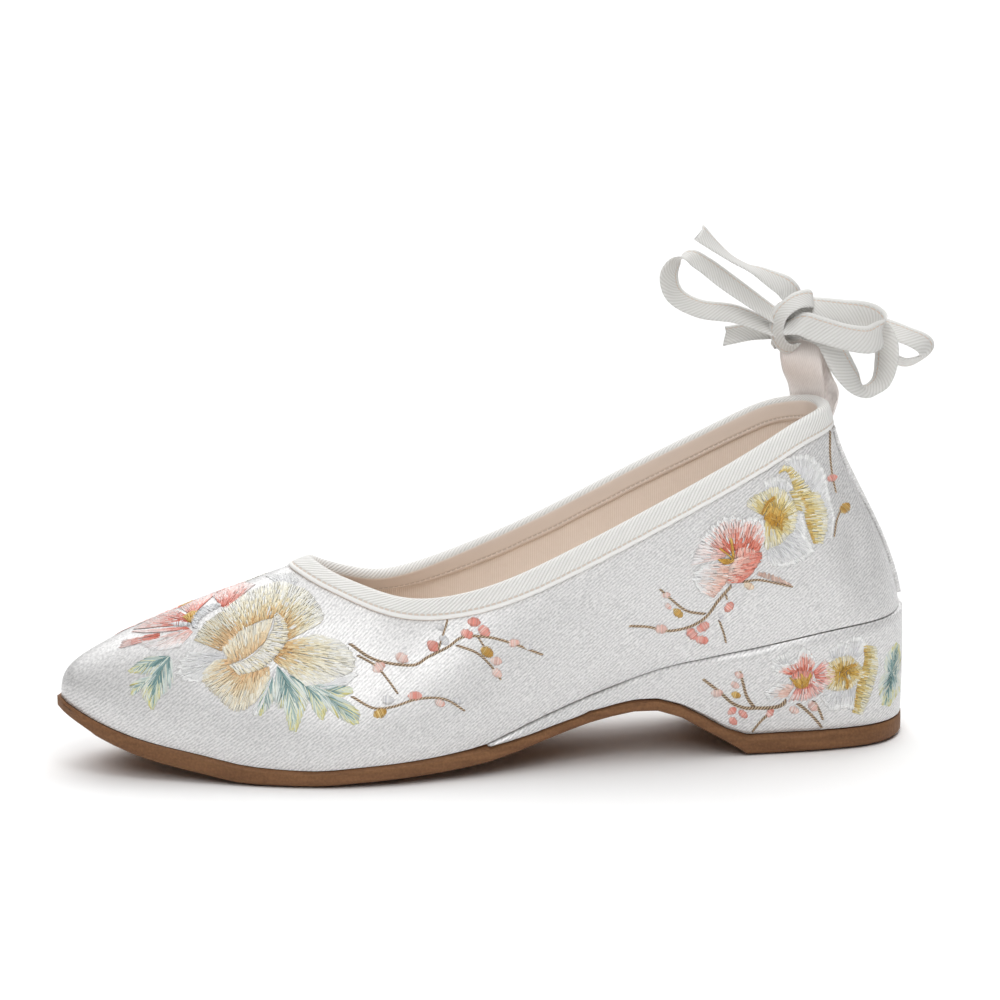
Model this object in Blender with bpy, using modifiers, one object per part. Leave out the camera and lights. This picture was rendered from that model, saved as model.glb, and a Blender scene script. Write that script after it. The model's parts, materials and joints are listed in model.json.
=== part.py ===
"""Left satin ballet flat with a covered low heel, a bound collar and a ribbon tied at the back.

Metres, toe towards -X, heel towards +X, lateral side towards -Y, floor at Z = 0.
"""
import math
from collections import namedtuple

import bmesh
import bpy
import numpy as np
from mathutils import Vector

MM = 0.001

# Driving dimensions
LENGTH = 245 * MM             # back of the heel to the tip of the toe
BALL_WIDTH = 76 * MM          # upper's width at the ball, where it meets the sole
COLLAR_HEIGHT = 97.5 * MM     # floor to the back of the collar, over its tape
WALL = 1.8 * MM               # satin, interlining and lining together
GAP = 0.3 * MM                # clearance between pieces
SOLE_MARGIN = 1.1 * MM        # outsole stands proud of the upper by this much
HEEL_TAPER = 2.4 * MM         # tread is narrower than the seat by this much on each side
WEDGE_BULGE = 0.4 * MM        # covered heel swells by this much between its edges
WEDGE_FRONT = 52.5 * 0.01      # share of the length at which the covered heel runs out
INSOLE_THICK = 2.6 * MM
INSOLE_INSET = WALL + 0.5 * MM
BINDING_DEPTH = 5.3 * MM      # leg of the folded tape on each side of the collar
BINDING_THICK = 0.8 * MM
BINDING_ROLL = 0.5 * MM       # extra height of the tape's round edge
STRIP_WIDTH = 11 * MM
STRIP_THICK = 0.7 * MM
TAB_WIDTH = 12 * MM
RIBBON_WIDTH = 8 * MM
TIE_WIDTH = 3.2 * MM
RIBBON_THICK = 0.9 * MM
KNOT_SIZE = (8.4 * MM, 9.2 * MM, 13.2 * MM)
KNOT_PLACE = (-11.5 * MM, -7 * MM, 21.5 * MM)
BOW_PLACE = 9.6 * 0.01         # share of the length at which the bow's routes start, at collar height
BOW_TURN = math.radians(-9.5)  # the bow's face is turned from the shoe's side by this much
SIDE_SHIFT = 1.05 * MM         # centres the uneven plan on Y = 0
END_SHIFT = 0.17 * MM          # centres the length, with the sole's edge, on X = 0

RAYS_PER_SECTION = 4
WALL_STEPS = 10

# Sections of the upper, from the back of the heel to the tip of the toe.
# foot and rim: percent of the length, from the back of the heel, where the section stands and ends
# lateral, medial, rim_half: percent of the ball width, from the centre line
# rim_height: percent of the collar height
# flare, tuck: degrees by which the wall leans out at the sole and in at the rim
# rise, run: share of the section's length over which it keeps those two directions
Section = namedtuple("Section", "name foot lateral medial rim rim_half rim_height flare tuck rise run")
SECTIONS = [
    Section("heel back",    0.7,  0.0,  0.0,  9.6,  0.0,  98.5, -6, 13, 0.33, 0.35),
    Section("heel corner",  2.7, 21.0, 21.0, 10.2, 10.5,  98.3, -4, 13, 0.33, 0.35),
    Section("heel curve",   7.2, 32.0, 31.6, 12.0, 18.2,  97.3, -1, 13, 0.33, 0.35),
    Section("heel side",   13.9, 35.5, 35.0, 15.5, 25.5,  94.4,  3, 12, 0.33, 0.35),
    Section("breast",      21.0, 36.0, 34.2, 21.6, 30.9,  86.7,  6, 11, 0.33, 0.35),
    Section("shank",       31.8, 36.8, 31.6, 31.8, 34.6,  74.2,  7, 11, 0.33, 0.35),
    Section("waist",       42.4, 40.0, 31.6, 41.6, 35.3,  62.4,  7, 13, 0.33, 0.35),
    Section("instep",      52.2, 45.5, 37.5, 50.6, 35.7,  53.3,  8, 19, 0.33, 0.35),
    Section("joint",       61.2, 50.0, 45.0, 58.0, 29.5,  49.0,  9, 33, 0.33, 0.35),
    Section("ball",        69.8, 49.8, 48.0, 62.5, 21.6,  49.5,  9, 46, 0.30, 0.38),
    Section("vamp side",   78.4, 42.0, 43.4, 65.9, 15.1,  52.2, 11, 55, 0.25, 0.41),
    Section("toe side",    86.6, 31.0, 33.0, 68.6, 10.0,  55.0, 15, 62, 0.20, 0.43),
    Section("toe corner",  94.1, 20.0, 21.6, 70.2,  5.1,  57.3, 21, 66, 0.17, 0.44),
    Section("toe tip",     99.6, -0.8,  0.8, 70.8, -0.4,  58.0, 29, 68, 0.18, 0.45),
]

# Stack of the sole, from the back of the heel to the tip of the toe.
# at: percent of the length; tread: height of the underside; outsole, wedge: thicknesses in millimetres
Stack = namedtuple("Stack", "at tread outsole wedge")
STACK = [
    Stack(0.0,   0.0, 5.5, 32.0),
    Stack(8.2,   0.0, 5.5, 30.6),
    Stack(21.0,  0.0, 5.5, 25.5),
    Stack(21.5,  1.4, 4.6, 24.8),
    Stack(23.7,  4.4, 3.6, 22.0),
    Stack(26.1,  8.0, 3.7, 17.3),
    Stack(28.6, 11.8, 3.5, 12.8),
    Stack(31.0, 14.4, 3.4,  9.2),
    Stack(33.5, 15.0, 3.3,  7.0),
    Stack(38.4, 13.4, 3.2,  5.0),
    Stack(43.3, 10.2, 3.1,  4.1),
    Stack(48.2,  6.4, 3.7,  2.8),
    Stack(52.7,  3.7, 4.4,  0.6),
    Stack(61.2,  1.6, 4.3,  0.0),
    Stack(67.5,  0.7, 4.2,  0.0),
    Stack(72.0,  0.0, 4.1,  0.0),
    Stack(79.0,  0.0, 4.8,  0.0),
    Stack(85.0,  2.4, 5.5,  0.0),
    Stack(91.0,  5.9, 5.9,  0.0),
    Stack(95.5, 10.2, 5.7,  0.0),
    Stack(100.0, 16.5, 4.8, 0.0),
]

# Routes of the ribbons in millimetres from the back of the collar edge.
# right, near, up: the ribbon's middle, in the bow's own plane (right), out of it (near) and upwards
# edge_right, edge_near, edge_up: which way its near edge lies
Route = namedtuple("Route", "right near up edge_right edge_near edge_up")
TAB_ROUTE = [
    Route(-3.9, -12.6, -3.3, 8, 6, 0),
    Route(-4.5, -11.8, 1.5, 8, 5, 0),
    Route(-5.8, -9.0, 6.5, 9, 3, 0),
    Route(-6.5, -7.8, 11.0, 9, 2, 0),
    Route(-6.2, -9.0, 14.2, 9, 2, 0),
    Route(-5.4, -11.8, 14.9, 9, 2.5, 0),
    Route(-4.6, -14.4, 12.4, 9, 3.5, 0),
    Route(-3.2, -15.3, 8.6, 8, 5.5, 0),
    Route(-0.4, -13.4, 4.0, 5, 7, 0),
    Route(2.2, -9.2, -0.2, 2.5, 8, 0),
    Route(3.0, -5.0, -4.6, 1.5, 8, 0),
]
TIE_ROUTE = [
    Route(-13.8, -10.0, 15.4, 1, 5, 2),
    Route(-13.4, -12.6, 12.9, 0, 5, 1),
    Route(-6.5, -11.8, 12.0, 0, 5, 0),
    Route(0.6, -9.4, 12.4, 0, 5, 0),
    Route(2.8, -8.4, 14.6, 0, 5, 0),
    Route(1.8, -8.8, 17.4, 0, 5, -1),
    Route(-4.8, -8.6, 18.8, 0, 5, -2),
]
LOOP_LEFT = [
    Route(-16.2, -7.0, 24.5, -2.0, 7.0, -3.0),
    Route(-28.0, -7.0, 33.0, -3.5, 6.5, -3.0),
    Route(-34.2, -7.0, 37.7, -3.5, 6.7, -2.4),
    Route(-38.8, -7.0, 40.2, -3.8, 6.6, -1.6),
    Route(-42.4, -7.0, 39.0, -4.6, 6.2, 0.0),
    Route(-44.5, -7.0, 34.5, -5.4, 5.9, 0.0),
    Route(-42.5, -7.0, 28.8, -4.5, 6.2, -2.0),
    Route(-35.5, -7.0, 25.0, -1.5, 6.8, -4.0),
    Route(-25.5, -7.0, 23.5, -0.5, 6.8, -4.2),
    Route(-16.4, -7.0, 20.0, -0.5, 7.2, -3.5),
]
LOOP_FRONT = [
    Route(-6.6, -0.8, 21.4, -3.4, 4.6, -5.4),
    Route(-2.0, -0.8, 20.0, -3.2, 3.8, -6.3),
    Route(6.5, -1.0, 17.5, -2.7, 4.0, -6.3),
    Route(13.0, -2.6, 16.6, -1.3, 3.0, -7.3),
    Route(16.4, -6.6, 18.6, -0.9, 2.4, -7.2),
    Route(13.8, -10.6, 21.6, -2.4, 1.2, -7.2),
    Route(6.0, -11.5, 23.2, -0.9, 5.2, -6.0),
    Route(-1.5, -10.2, 24.6, -0.9, 6.4, -4.7),
    Route(-6.4, -9.6, 25.2, -0.9, 6.5, -4.5),
]
LOOP_HANGING = [
    Route(1.2, -4.6, 15.8, -6.5, 4.0, -2.0),
    Route(2.7, -4.6, 13.4, -6.5, 3.8, -1.8),
    Route(4.8, -5.2, 9.4, -6.5, 4.0, -2.0),
    Route(8.6, -6.6, 3.8, -5.0, 6.0, -2.0),
    Route(12.6, -8.6, 0.7, -0.6, 7.8, -1.6),
    Route(16.8, -11.0, 2.5, 3.2, 7.0, -2.0),
    Route(18.6, -13.2, 7.7, 6.0, 5.0, 0.0),
    Route(18.4, -14.8, 14.0, 6.0, 4.6, 1.0),
    Route(14.6, -17.4, 19.6, 4.0, 6.5, -1.5),
    Route(7.0, -18.6, 21.8, 0.5, 6.5, -4.0),
    Route(0.0, -16.6, 23.0, 0.0, 6.5, -4.5),
    Route(-6.2, -12.8, 24.0, 0.0, 6.5, -4.5),
]
LOOP_FAR = [
    Route(-6.6, -16.0, 22.6, 0.0, 6.5, -4.5),
    Route(-0.5, -21.4, 21.6, -0.5, 6.5, -4.4),
    Route(9.0, -25.0, 19.4, -1.5, 6.6, -4.3),
    Route(18.6, -23.6, 16.4, -2.2, 6.5, -4.2),
    Route(25.0, -21.6, 14.4, -3.1, 6.6, -3.4),
    Route(29.8, -21.6, 12.0, -4.2, 6.0, -2.8),
    Route(31.0, -22.8, 9.4, -4.6, 6.2, -1.0),
    Route(29.0, -24.4, 7.2, -3.0, 7.0, 1.8),
    Route(25.0, -25.6, 5.8, -1.2, 6.8, 3.8),
    Route(20.6, -26.2, 7.5, -1.0, 6.6, 4.0),
    Route(13.0, -26.0, 11.4, 0.0, 7.0, 1.0),
    Route(4.0, -23.4, 15.2, 0.0, 7.0, -3.0),
    Route(-3.0, -19.0, 17.6, 0.0, 6.8, -4.0),
    Route(-7.4, -15.4, 18.8, 0.0, 6.6, -4.4),
]
TAIL_UPPER = [
    Route(-10.6, -9.5, 31.0, -3.0, 6.6, -3.4),
    Route(-14.0, -9.2, 32.7, -2.8, 7.1, -2.4),
    Route(-18.4, -9.0, 35.0, -2.8, 7.4, -1.2),
    Route(-22.0, -9.0, 36.7, -0.8, 8.0, -0.4),
    Route(-26.5, -9.5, 39.1, -0.7, 8.0, -0.6),
    Route(-30.6, -10.0, 42.2, -1.2, 7.7, -1.8),
    Route(-35.6, -10.0, 46.6, -2.8, 6.8, -3.2),
]
TAIL_LOWER = [
    Route(-15.9, -11.2, 17.6, -0.8, 7.3, -3.2),
    Route(-21.0, -12.0, 17.4, -1.2, 6.9, -3.9),
    Route(-28.0, -12.0, 16.2, -2.0, 6.4, -4.3),
]

COLOURS = {
    "satin": (0.80, 0.79, 0.77, 1),
    "tape": (0.88, 0.87, 0.84, 1),
    "rubber": (0.26, 0.13, 0.06, 1),
    "lining": (0.78, 0.62, 0.48, 1),
}


def clear_scene():
    for thing in list(bpy.data.objects):
        bpy.data.objects.remove(thing, do_unlink=True)


def closed_spline(rows):
    """A smooth closed curve through the rows; its parameter grows by one from row to row."""
    rows = np.asarray(rows, float)
    count = len(rows)
    system = np.zeros((count, count))
    for i in range(count):
        system[i, i] = 4
        system[i, i - 1] = 1
        system[i, (i + 1) % count] = 1
    slopes = np.linalg.solve(system, 3 * (np.roll(rows, -1, 0) - np.roll(rows, 1, 0)))

    def at(u):
        i = math.floor(u)
        t = u - i
        i %= count
        j = (i + 1) % count
        return hermite(rows[i], rows[j], slopes[i], slopes[j], t)
    return at


def hermite(start, end, leave, arrive, t):
    return (start * (2 * t**3 - 3 * t**2 + 1) + leave * (t**3 - 2 * t**2 + t)
            + end * (3 * t**2 - 2 * t**3) + arrive * (t**3 - t**2))


def steady_curve(places, values):
    """A smooth curve through the values that never overshoots them."""
    places = np.asarray(places, float)
    values = np.asarray(values, float)
    steps = np.diff(places)
    grades = np.diff(values) / steps
    slopes = np.zeros(len(values))
    slopes[0], slopes[-1] = grades[0], grades[-1]
    for i in range(1, len(values) - 1):
        if grades[i - 1] * grades[i] > 0:
            w1 = 2 * steps[i] + steps[i - 1]
            w2 = steps[i] + 2 * steps[i - 1]
            slopes[i] = (w1 + w2) / (w1 / grades[i - 1] + w2 / grades[i])

    def at(place):
        i = int(np.clip(np.searchsorted(places, place) - 1, 0, len(steps) - 1))
        t = (min(max(place, places[0]), places[-1]) - places[i]) / steps[i]
        return float(hermite(values[i], values[i + 1], slopes[i] * steps[i], slopes[i + 1] * steps[i], t))
    return at


def open_spline(rows):
    """A smooth open curve through the rows; its parameter grows by one from row to row."""
    rows = np.asarray(rows, float)
    slopes = np.gradient(rows, axis=0)

    def at(u):
        i = min(int(u), len(rows) - 2)
        return hermite(rows[i], rows[i + 1], slopes[i], slopes[i + 1], u - i)
    return at


def place(station, across, height):
    """A point given by its distance from the back of the heel, its distance from the centre line and its height."""
    return Vector((LENGTH / 2 - station + END_SHIFT, across + SIDE_SHIFT, height))


# Heights of the sole by distance from the back of the heel
STATIONS = [row.at * 0.01 * LENGTH for row in STACK]
tread = steady_curve(STATIONS, [row.tread * MM for row in STACK])
outsole_top = steady_curve(STATIONS, [(row.tread + row.outsole) * MM for row in STACK])
seat = steady_curve(STATIONS, [(row.tread + row.outsole + row.wedge) * MM for row in STACK])


def section_row(section, side):
    """Sizes of one section on one side; side is -1 for lateral and 1 for medial."""
    half = section.medial if side > 0 else section.lateral
    return (section.foot * 0.01 * LENGTH, side * half * 0.01 * BALL_WIDTH,
            section.rim * 0.01 * LENGTH, side * section.rim_half * 0.01 * BALL_WIDTH,
            section.rim_height * 0.01 * COLLAR_HEIGHT, section.flare, section.tuck, section.rise, section.run)


AROUND = closed_spline([section_row(s, -1) for s in SECTIONS] + [section_row(s, 1) for s in SECTIONS[-2:0:-1]])
TURN = 2 * len(SECTIONS) - 2
RAYS = [i / RAYS_PER_SECTION for i in range(TURN * RAYS_PER_SECTION)]


def out_of(loop, u):
    """The level direction out of a loop of the shoe at u."""
    ahead = loop(u + 0.01) - loop(u - 0.01)
    return Vector((ahead.y, -ahead.x, 0)).normalized() * -1


def foot_loop(u):
    row = AROUND(u)
    return place(row[0], row[1], seat(row[0]) + GAP)


def rim_loop(u):
    row = AROUND(u)
    return place(row[2], row[3], row[4])


def wall_point(u, v):
    """The upper's outside: u runs round the shoe from the back of the heel, v from the sole to the rim."""
    row = AROUND(u)
    foot, rim = foot_loop(u), rim_loop(u)
    flare, tuck = math.radians(row[5]), math.radians(row[6])
    span = (rim - foot).length
    up = Vector((0, 0, 1))
    leave = up * math.cos(flare) + out_of(foot_loop, u) * math.sin(flare)
    arrive = up * math.cos(tuck) - out_of(rim_loop, u) * math.sin(tuck)
    a = foot + leave * span * row[7]
    b = rim - arrive * span * row[8]
    w = 1 - v
    return foot * w**3 + a * 3 * w * w * v + b * 3 * w * v * v + rim * v**3


def wall_normal(u, v):
    low, high = max(v - 0.01, 0), min(v + 0.01, 1)
    along = wall_point(u + 0.02, v) - wall_point(u - 0.02, v)
    upward = wall_point(u, high) - wall_point(u, low)
    return upward.cross(along).normalized()


def below_rim(u, depth):
    """The v that lies a given distance below the rim, measured on the wall."""
    speed = 3 * AROUND(u)[8] * (rim_loop(u) - foot_loop(u)).length
    return 1 - depth / speed


def sole_ring(rays, margin, height, draw_in=0):
    """A loop round the sole, margin outside the upper's foot, at a height worked out from each station.

    draw_in narrows the part under the heel on each side.
    """
    points = []
    for u in rays:
        spot = foot_loop(u)
        station = LENGTH / 2 - (spot.x - END_SHIFT)
        under_heel = min(max((0.30 * LENGTH - station) / (0.09 * LENGTH), 0), 1)
        spot = spot + out_of(foot_loop, u) * margin
        across = spot.y - SIDE_SHIFT
        narrow = 1 - draw_in * under_heel / (0.36 * BALL_WIDTH)
        station = LENGTH / 2 - (spot.x - END_SHIFT)
        points.append(place(station, across * narrow, height(station)))
    return points


def new_object(name, mesh_data, material, collection):
    mesh = bpy.data.meshes.new(name)
    bmesh.ops.recalc_face_normals(mesh_data, faces=mesh_data.faces)
    mesh_data.to_mesh(mesh)
    mesh_data.free()
    mesh.materials.append(material)
    thing = bpy.data.objects.new(name, mesh)
    collection.objects.link(thing)
    return thing


def stacked_rings(rings, rungs):
    """A solid from loops of the same count, lowest first; its two ends are closed by the rungs, as indices."""
    solid = bmesh.new()
    loops = [[solid.verts.new(p) for p in ring] for ring in rings]
    count = len(rings[0])
    for low, high in zip(loops, loops[1:]):
        for i in range(count):
            j = (i + 1) % count
            solid.faces.new((low[i], low[j], high[j], high[i]))
    for loop in (loops[0], loops[-1]):
        for rung in rungs:
            solid.faces.new([loop[i] for i in rung])
    return solid


def rungs_all_round(count):
    """Faces across a loop that starts at the back of the heel, with the tip of the toe half way."""
    half = count // 2
    across = [(i, i + 1, count - i - 1, count - i) for i in range(1, half - 1)]
    return [(0, 1, count - 1)] + across + [(half - 1, half, half + 1)]


def rungs_round_heel(count):
    """Faces across a loop that starts and ends at the front, with the back of the heel half way."""
    half = count // 2
    across = [(i, i + 1, count - i - 2, count - i - 1) for i in range(half - 1)]
    return across + [(half - 1, half, half + 1)]


def shell(name, points, closed, thickness, side, material, collection):
    """A solid wall on a grid of points (rows run along the first index), thickened to one side."""
    grid = bmesh.new()
    verts = [[grid.verts.new(p) for p in row] for row in points]
    columns = len(points[0])
    for low, high in zip(verts, verts[1:]):
        for i in range(columns if closed else columns - 1):
            j = (i + 1) % columns
            grid.faces.new((low[i], low[j], high[j], high[i]))
    thing = new_object(name, grid, material, collection)
    wall = thing.modifiers.new("wall", "SOLIDIFY")
    wall.thickness = thickness
    wall.offset = side
    wall.use_even_offset = True
    wall.use_rim = True
    return thing


def bow_place(right, near, up):
    """A point of the bow, given in its own plane from the back of the collar edge."""
    side = Vector((math.cos(BOW_TURN), math.sin(BOW_TURN), 0))
    front = Vector((math.sin(BOW_TURN), -math.cos(BOW_TURN), 0))
    return side * right + front * near + Vector((0, 0, up))


def ribbon(name, route, width, steps, material, collection):
    """A flat ribbon of even width and thickness along a route, as one closed solid."""
    curve = open_spline(route)
    solid = bmesh.new()
    rings = []
    base = place(BOW_PLACE * LENGTH, 0, COLLAR_HEIGHT)
    for k in range(steps + 1):
        u = k * (len(route) - 1) / steps
        row = curve(u) * MM
        spot = base + bow_place(*row[:3])
        low, high = max(u - 0.02, 0), min(u + 0.02, len(route) - 1)
        ahead = bow_place(*(curve(high) - curve(low))[:3]).normalized()
        edge = bow_place(*row[3:])
        edge = (edge - ahead * edge.dot(ahead)).normalized() * width / 2
        face = ahead.cross(edge).normalized() * RIBBON_THICK / 2
        rings.append([solid.verts.new(spot + edge * e + face * f) for e, f in ((-1, -1), (1, -1), (1, 1), (-1, 1))])
    for low, high in zip(rings, rings[1:]):
        for i in range(4):
            j = (i + 1) % 4
            solid.faces.new((low[i], low[j], high[j], high[i]))
    solid.faces.new(rings[0])
    solid.faces.new(rings[-1])
    return new_object(name, solid, material, collection)


def make_material(name, roughness):
    material = bpy.data.materials.new(name)
    material.use_nodes = True
    shader = material.node_tree.nodes["Principled BSDF"]
    shader.inputs["Base Color"].default_value = COLOURS[name]
    shader.inputs["Roughness"].default_value = roughness
    return material


def make_outsole(material, collection):
    """Forefoot, arch, breast and heel tread in one piece; two close rays give the tread its front corner."""
    corner = 4.0
    extra = [corner + 0.03, TURN - corner - 0.03]
    rays = sorted(RAYS + extra)
    under = sole_ring(rays, SOLE_MARGIN - 1.2 * MM, tread, HEEL_TAPER)
    edge = sole_ring(rays, SOLE_MARGIN, lambda s: tread(s) + 0.9 * MM, HEEL_TAPER)
    top = sole_ring(rays, SOLE_MARGIN, outsole_top, HEEL_TAPER * 0.8)
    return new_object("outsole", stacked_rings([under, edge, top], rungs_all_round(len(rays))), material, collection)


def make_wedge(material, collection):
    """The covered heel, from the back to the point where it runs out between outsole and upper."""
    reach = max(u for u in RAYS if u < TURN / 2 and AROUND(u)[0] < WEDGE_FRONT * LENGTH)
    back_to_front = [u for u in RAYS if u <= reach]
    rays = [TURN - u for u in reversed(back_to_front[1:])] + back_to_front
    low = sole_ring(rays, SOLE_MARGIN - 0.2 * MM, lambda s: outsole_top(s) + GAP, HEEL_TAPER * 0.8)
    middle = sole_ring(rays, SOLE_MARGIN + WEDGE_BULGE, lambda s: (outsole_top(s) + GAP + seat(s)) / 2, HEEL_TAPER * 0.4)
    high = sole_ring(rays, SOLE_MARGIN - 0.1 * MM, seat)
    return new_object("heel_wedge", stacked_rings([low, middle, high], rungs_round_heel(len(rays))), material, collection)


def make_insole(material, collection):
    low = sole_ring(RAYS, -INSOLE_INSET - 0.4 * MM, lambda s: seat(s) + GAP)
    middle = sole_ring(RAYS, -INSOLE_INSET, lambda s: seat(s) + GAP + INSOLE_THICK * 0.6)
    top = sole_ring(RAYS, -INSOLE_INSET - 1.2 * MM, lambda s: seat(s) + GAP + INSOLE_THICK)
    return new_object("insole", stacked_rings([low, middle, top], rungs_all_round(len(RAYS))), material, collection)


def make_upper(material, collection):
    rows = [[wall_point(u, k / WALL_STEPS) for u in RAYS] for k in range(WALL_STEPS + 1)]
    return shell("upper", rows, True, WALL, -1, material, collection)


def make_binding(material, collection):
    """The folded tape: a U section carried round the rim, its legs following the wall on both sides."""
    outer_near, outer_far = GAP, GAP + BINDING_THICK
    inner_near, inner_far = -WALL - GAP, -WALL - GAP - BINDING_THICK
    solid = bmesh.new()
    rings = []
    for u in RAYS:
        deep = below_rim(u, BINDING_DEPTH)
        low, high = wall_point(u, deep), wall_point(u, 1)
        low_out, high_out = wall_normal(u, deep), wall_normal(u, 1)
        up = (high - wall_point(u, 0.98)).normalized()
        crest = high - high_out * WALL / 2
        section = [
            low + low_out * outer_far,
            high + high_out * outer_far,
            crest + up * (GAP + BINDING_THICK + BINDING_ROLL),
            high + high_out * inner_far,
            low + low_out * inner_far,
            low + low_out * inner_near,
            high + high_out * inner_near + up * GAP,
            high + high_out * outer_near + up * GAP,
            low + low_out * outer_near,
        ]
        rings.append([solid.verts.new(p) for p in section])
    for ring, after in zip(rings, rings[1:] + rings[:1]):
        for i in range(len(ring)):
            j = (i + 1) % len(ring)
            solid.faces.new((ring[i], ring[j], after[j], after[i]))
    return new_object("topline_binding", solid, material, collection)


def make_back_strip(material, collection):
    """A strip over the back seam, laid on the upper's own surface up to the binding."""
    top = below_rim(0, BINDING_DEPTH + 0.8 * MM)
    rows = []
    for k in range(13):
        v = 0.05 + (top - 0.05) * k / 12
        pace = (wall_point(0.05, v) - wall_point(-0.05, v)).length / 0.1
        reach = STRIP_WIDTH / 2 / pace
        row = []
        for i in range(-3, 4):
            u = reach * i / 3
            row.append(wall_point(u, v) + wall_normal(u, v) * GAP)
        rows.append(row)
    return shell("back_strip", rows, False, STRIP_THICK, 1, material, collection)


def make_knot(material, collection):
    """The pulled-tight middle of the bow: a small round lump that the ribbons leave."""
    solid = bmesh.new()
    bmesh.ops.create_uvsphere(solid, u_segments=16, v_segments=10, radius=0.5)
    centre = place(BOW_PLACE * LENGTH, 0, COLLAR_HEIGHT) + bow_place(*KNOT_PLACE)
    for vert in solid.verts:
        x, y, z = (c * s for c, s in zip(vert.co, KNOT_SIZE))
        vert.co = centre + bow_place(x, -y, z)
    return new_object("bow_knot", solid, material, collection)


def main():
    clear_scene()
    collection = bpy.data.collections.new("ballet_flat")
    bpy.context.scene.collection.children.link(collection)
    satin = make_material("satin", 0.45)
    tape = make_material("tape", 0.6)
    rubber = make_material("rubber", 0.7)
    lining = make_material("lining", 0.8)
    make_outsole(rubber, collection)
    make_wedge(satin, collection)
    make_upper(satin, collection)
    make_insole(lining, collection)
    make_binding(tape, collection)
    make_back_strip(satin, collection)
    ribbon("heel_loop", TAB_ROUTE, TAB_WIDTH, 28, satin, collection)
    make_knot(tape, collection)
    ribbon("bow_tie", TIE_ROUTE, TIE_WIDTH, 18, tape, collection)
    ribbon("bow_loop_left", LOOP_LEFT, RIBBON_WIDTH, 26, tape, collection)
    ribbon("bow_loop_front", LOOP_FRONT, RIBBON_WIDTH, 26, tape, collection)
    ribbon("bow_loop_hanging", LOOP_HANGING, RIBBON_WIDTH, 34, tape, collection)
    ribbon("bow_loop_far", LOOP_FAR, RIBBON_WIDTH, 34, tape, collection)
    ribbon("bow_tail_upper", TAIL_UPPER, RIBBON_WIDTH, 18, tape, collection)
    ribbon("bow_tail_lower", TAIL_LOWER, RIBBON_WIDTH, 8, tape, collection)


main()
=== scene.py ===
# Looks of the left satin ballet flat: cloth, tape, rubber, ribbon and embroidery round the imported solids
import json
import math
import random

import bmesh
import bpy
import numpy as np
from mathutils import Matrix, Vector
from mathutils.bvhtree import BVHTree
from mathutils.kdtree import KDTree

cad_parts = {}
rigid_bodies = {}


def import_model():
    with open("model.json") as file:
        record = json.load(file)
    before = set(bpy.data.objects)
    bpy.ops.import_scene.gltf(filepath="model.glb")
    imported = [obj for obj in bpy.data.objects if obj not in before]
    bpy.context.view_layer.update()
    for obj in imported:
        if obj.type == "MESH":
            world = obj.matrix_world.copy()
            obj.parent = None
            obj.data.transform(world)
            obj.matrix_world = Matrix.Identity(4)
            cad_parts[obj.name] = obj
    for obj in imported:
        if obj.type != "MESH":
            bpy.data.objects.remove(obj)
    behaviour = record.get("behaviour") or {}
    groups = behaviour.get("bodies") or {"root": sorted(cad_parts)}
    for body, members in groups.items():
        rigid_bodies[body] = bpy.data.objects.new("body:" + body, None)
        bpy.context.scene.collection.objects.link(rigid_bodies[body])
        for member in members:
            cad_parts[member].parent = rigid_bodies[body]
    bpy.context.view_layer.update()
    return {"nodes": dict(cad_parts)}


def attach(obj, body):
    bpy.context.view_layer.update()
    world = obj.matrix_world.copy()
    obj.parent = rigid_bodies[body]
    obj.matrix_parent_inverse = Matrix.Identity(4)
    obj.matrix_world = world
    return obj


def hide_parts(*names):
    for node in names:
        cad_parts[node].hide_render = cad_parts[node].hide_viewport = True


for thing in list(bpy.data.objects):
    bpy.data.objects.remove(thing)
mm = 0.001
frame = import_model()
dice = random.Random(37)      # one seed, so that each run lays the same stitches
print("frame loaded")


# Camera at the photo's angle: the shoe's outer side, a little from the toe and from above
photoCamera = {
    "turn": -9.5,             # degrees round the shoe
    "rise": 12.0,             # degrees above the floor
    "roll": 0.3,              # degrees
    "distance": 1.3,          # metres
    "lens": 164.5,            # mm
    "sensor": 36,             # mm
    "nearest": 0.1,           # metres, from where the camera sees
    "target": (4.61 * mm, 1.05 * mm, 71.51 * mm),
    "picture": 1000,          # pixels each way
}


def setCamera():
    turn = math.radians(photoCamera["turn"])
    rise = math.radians(photoCamera["rise"])
    roll = math.radians(photoCamera["roll"])
    back = Vector((math.sin(turn) * math.cos(rise), -math.cos(turn) * math.cos(rise), math.sin(rise)))
    right = Vector((math.cos(turn), math.sin(turn), 0))
    up = back.cross(right)
    right, up = right * math.cos(roll) - up * math.sin(roll), up * math.cos(roll) + right * math.sin(roll)
    bpy.ops.object.camera_add()
    camera = bpy.context.active_object
    stand = Matrix((right, up, back)).transposed().to_4x4()
    stand.translation = Vector(photoCamera["target"]) + back * photoCamera["distance"]
    camera.matrix_world = stand
    camera.data.sensor_width = photoCamera["sensor"]
    camera.data.lens = photoCamera["lens"]
    camera.data.clip_start = photoCamera["nearest"]
    bpy.context.scene.camera = camera
    return stand.translation.copy(), right, up, back


eye, eyeRight, eyeUp, eyeBack = setCamera()


def sightLine(column, row):
    # Direction from the camera through a pixel of the picture
    reach = photoCamera["lens"] / photoCamera["sensor"] * photoCamera["picture"]
    middle = photoCamera["picture"] / 2
    return (eyeRight * (column - middle) + eyeUp * (middle - row) - eyeBack * reach).normalized()


# Finishes
def toLinear(hexCode):
    # A screen colour as linear light, by the usual sRGB formula
    parts = [int(hexCode[i:i + 2], 16) / 255 for i in (1, 3, 5)]
    return tuple(c / 12.92 if c <= 0.04045 else ((c + 0.055) / 1.055) ** 2.4 for c in parts) + (1.0,)


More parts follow.
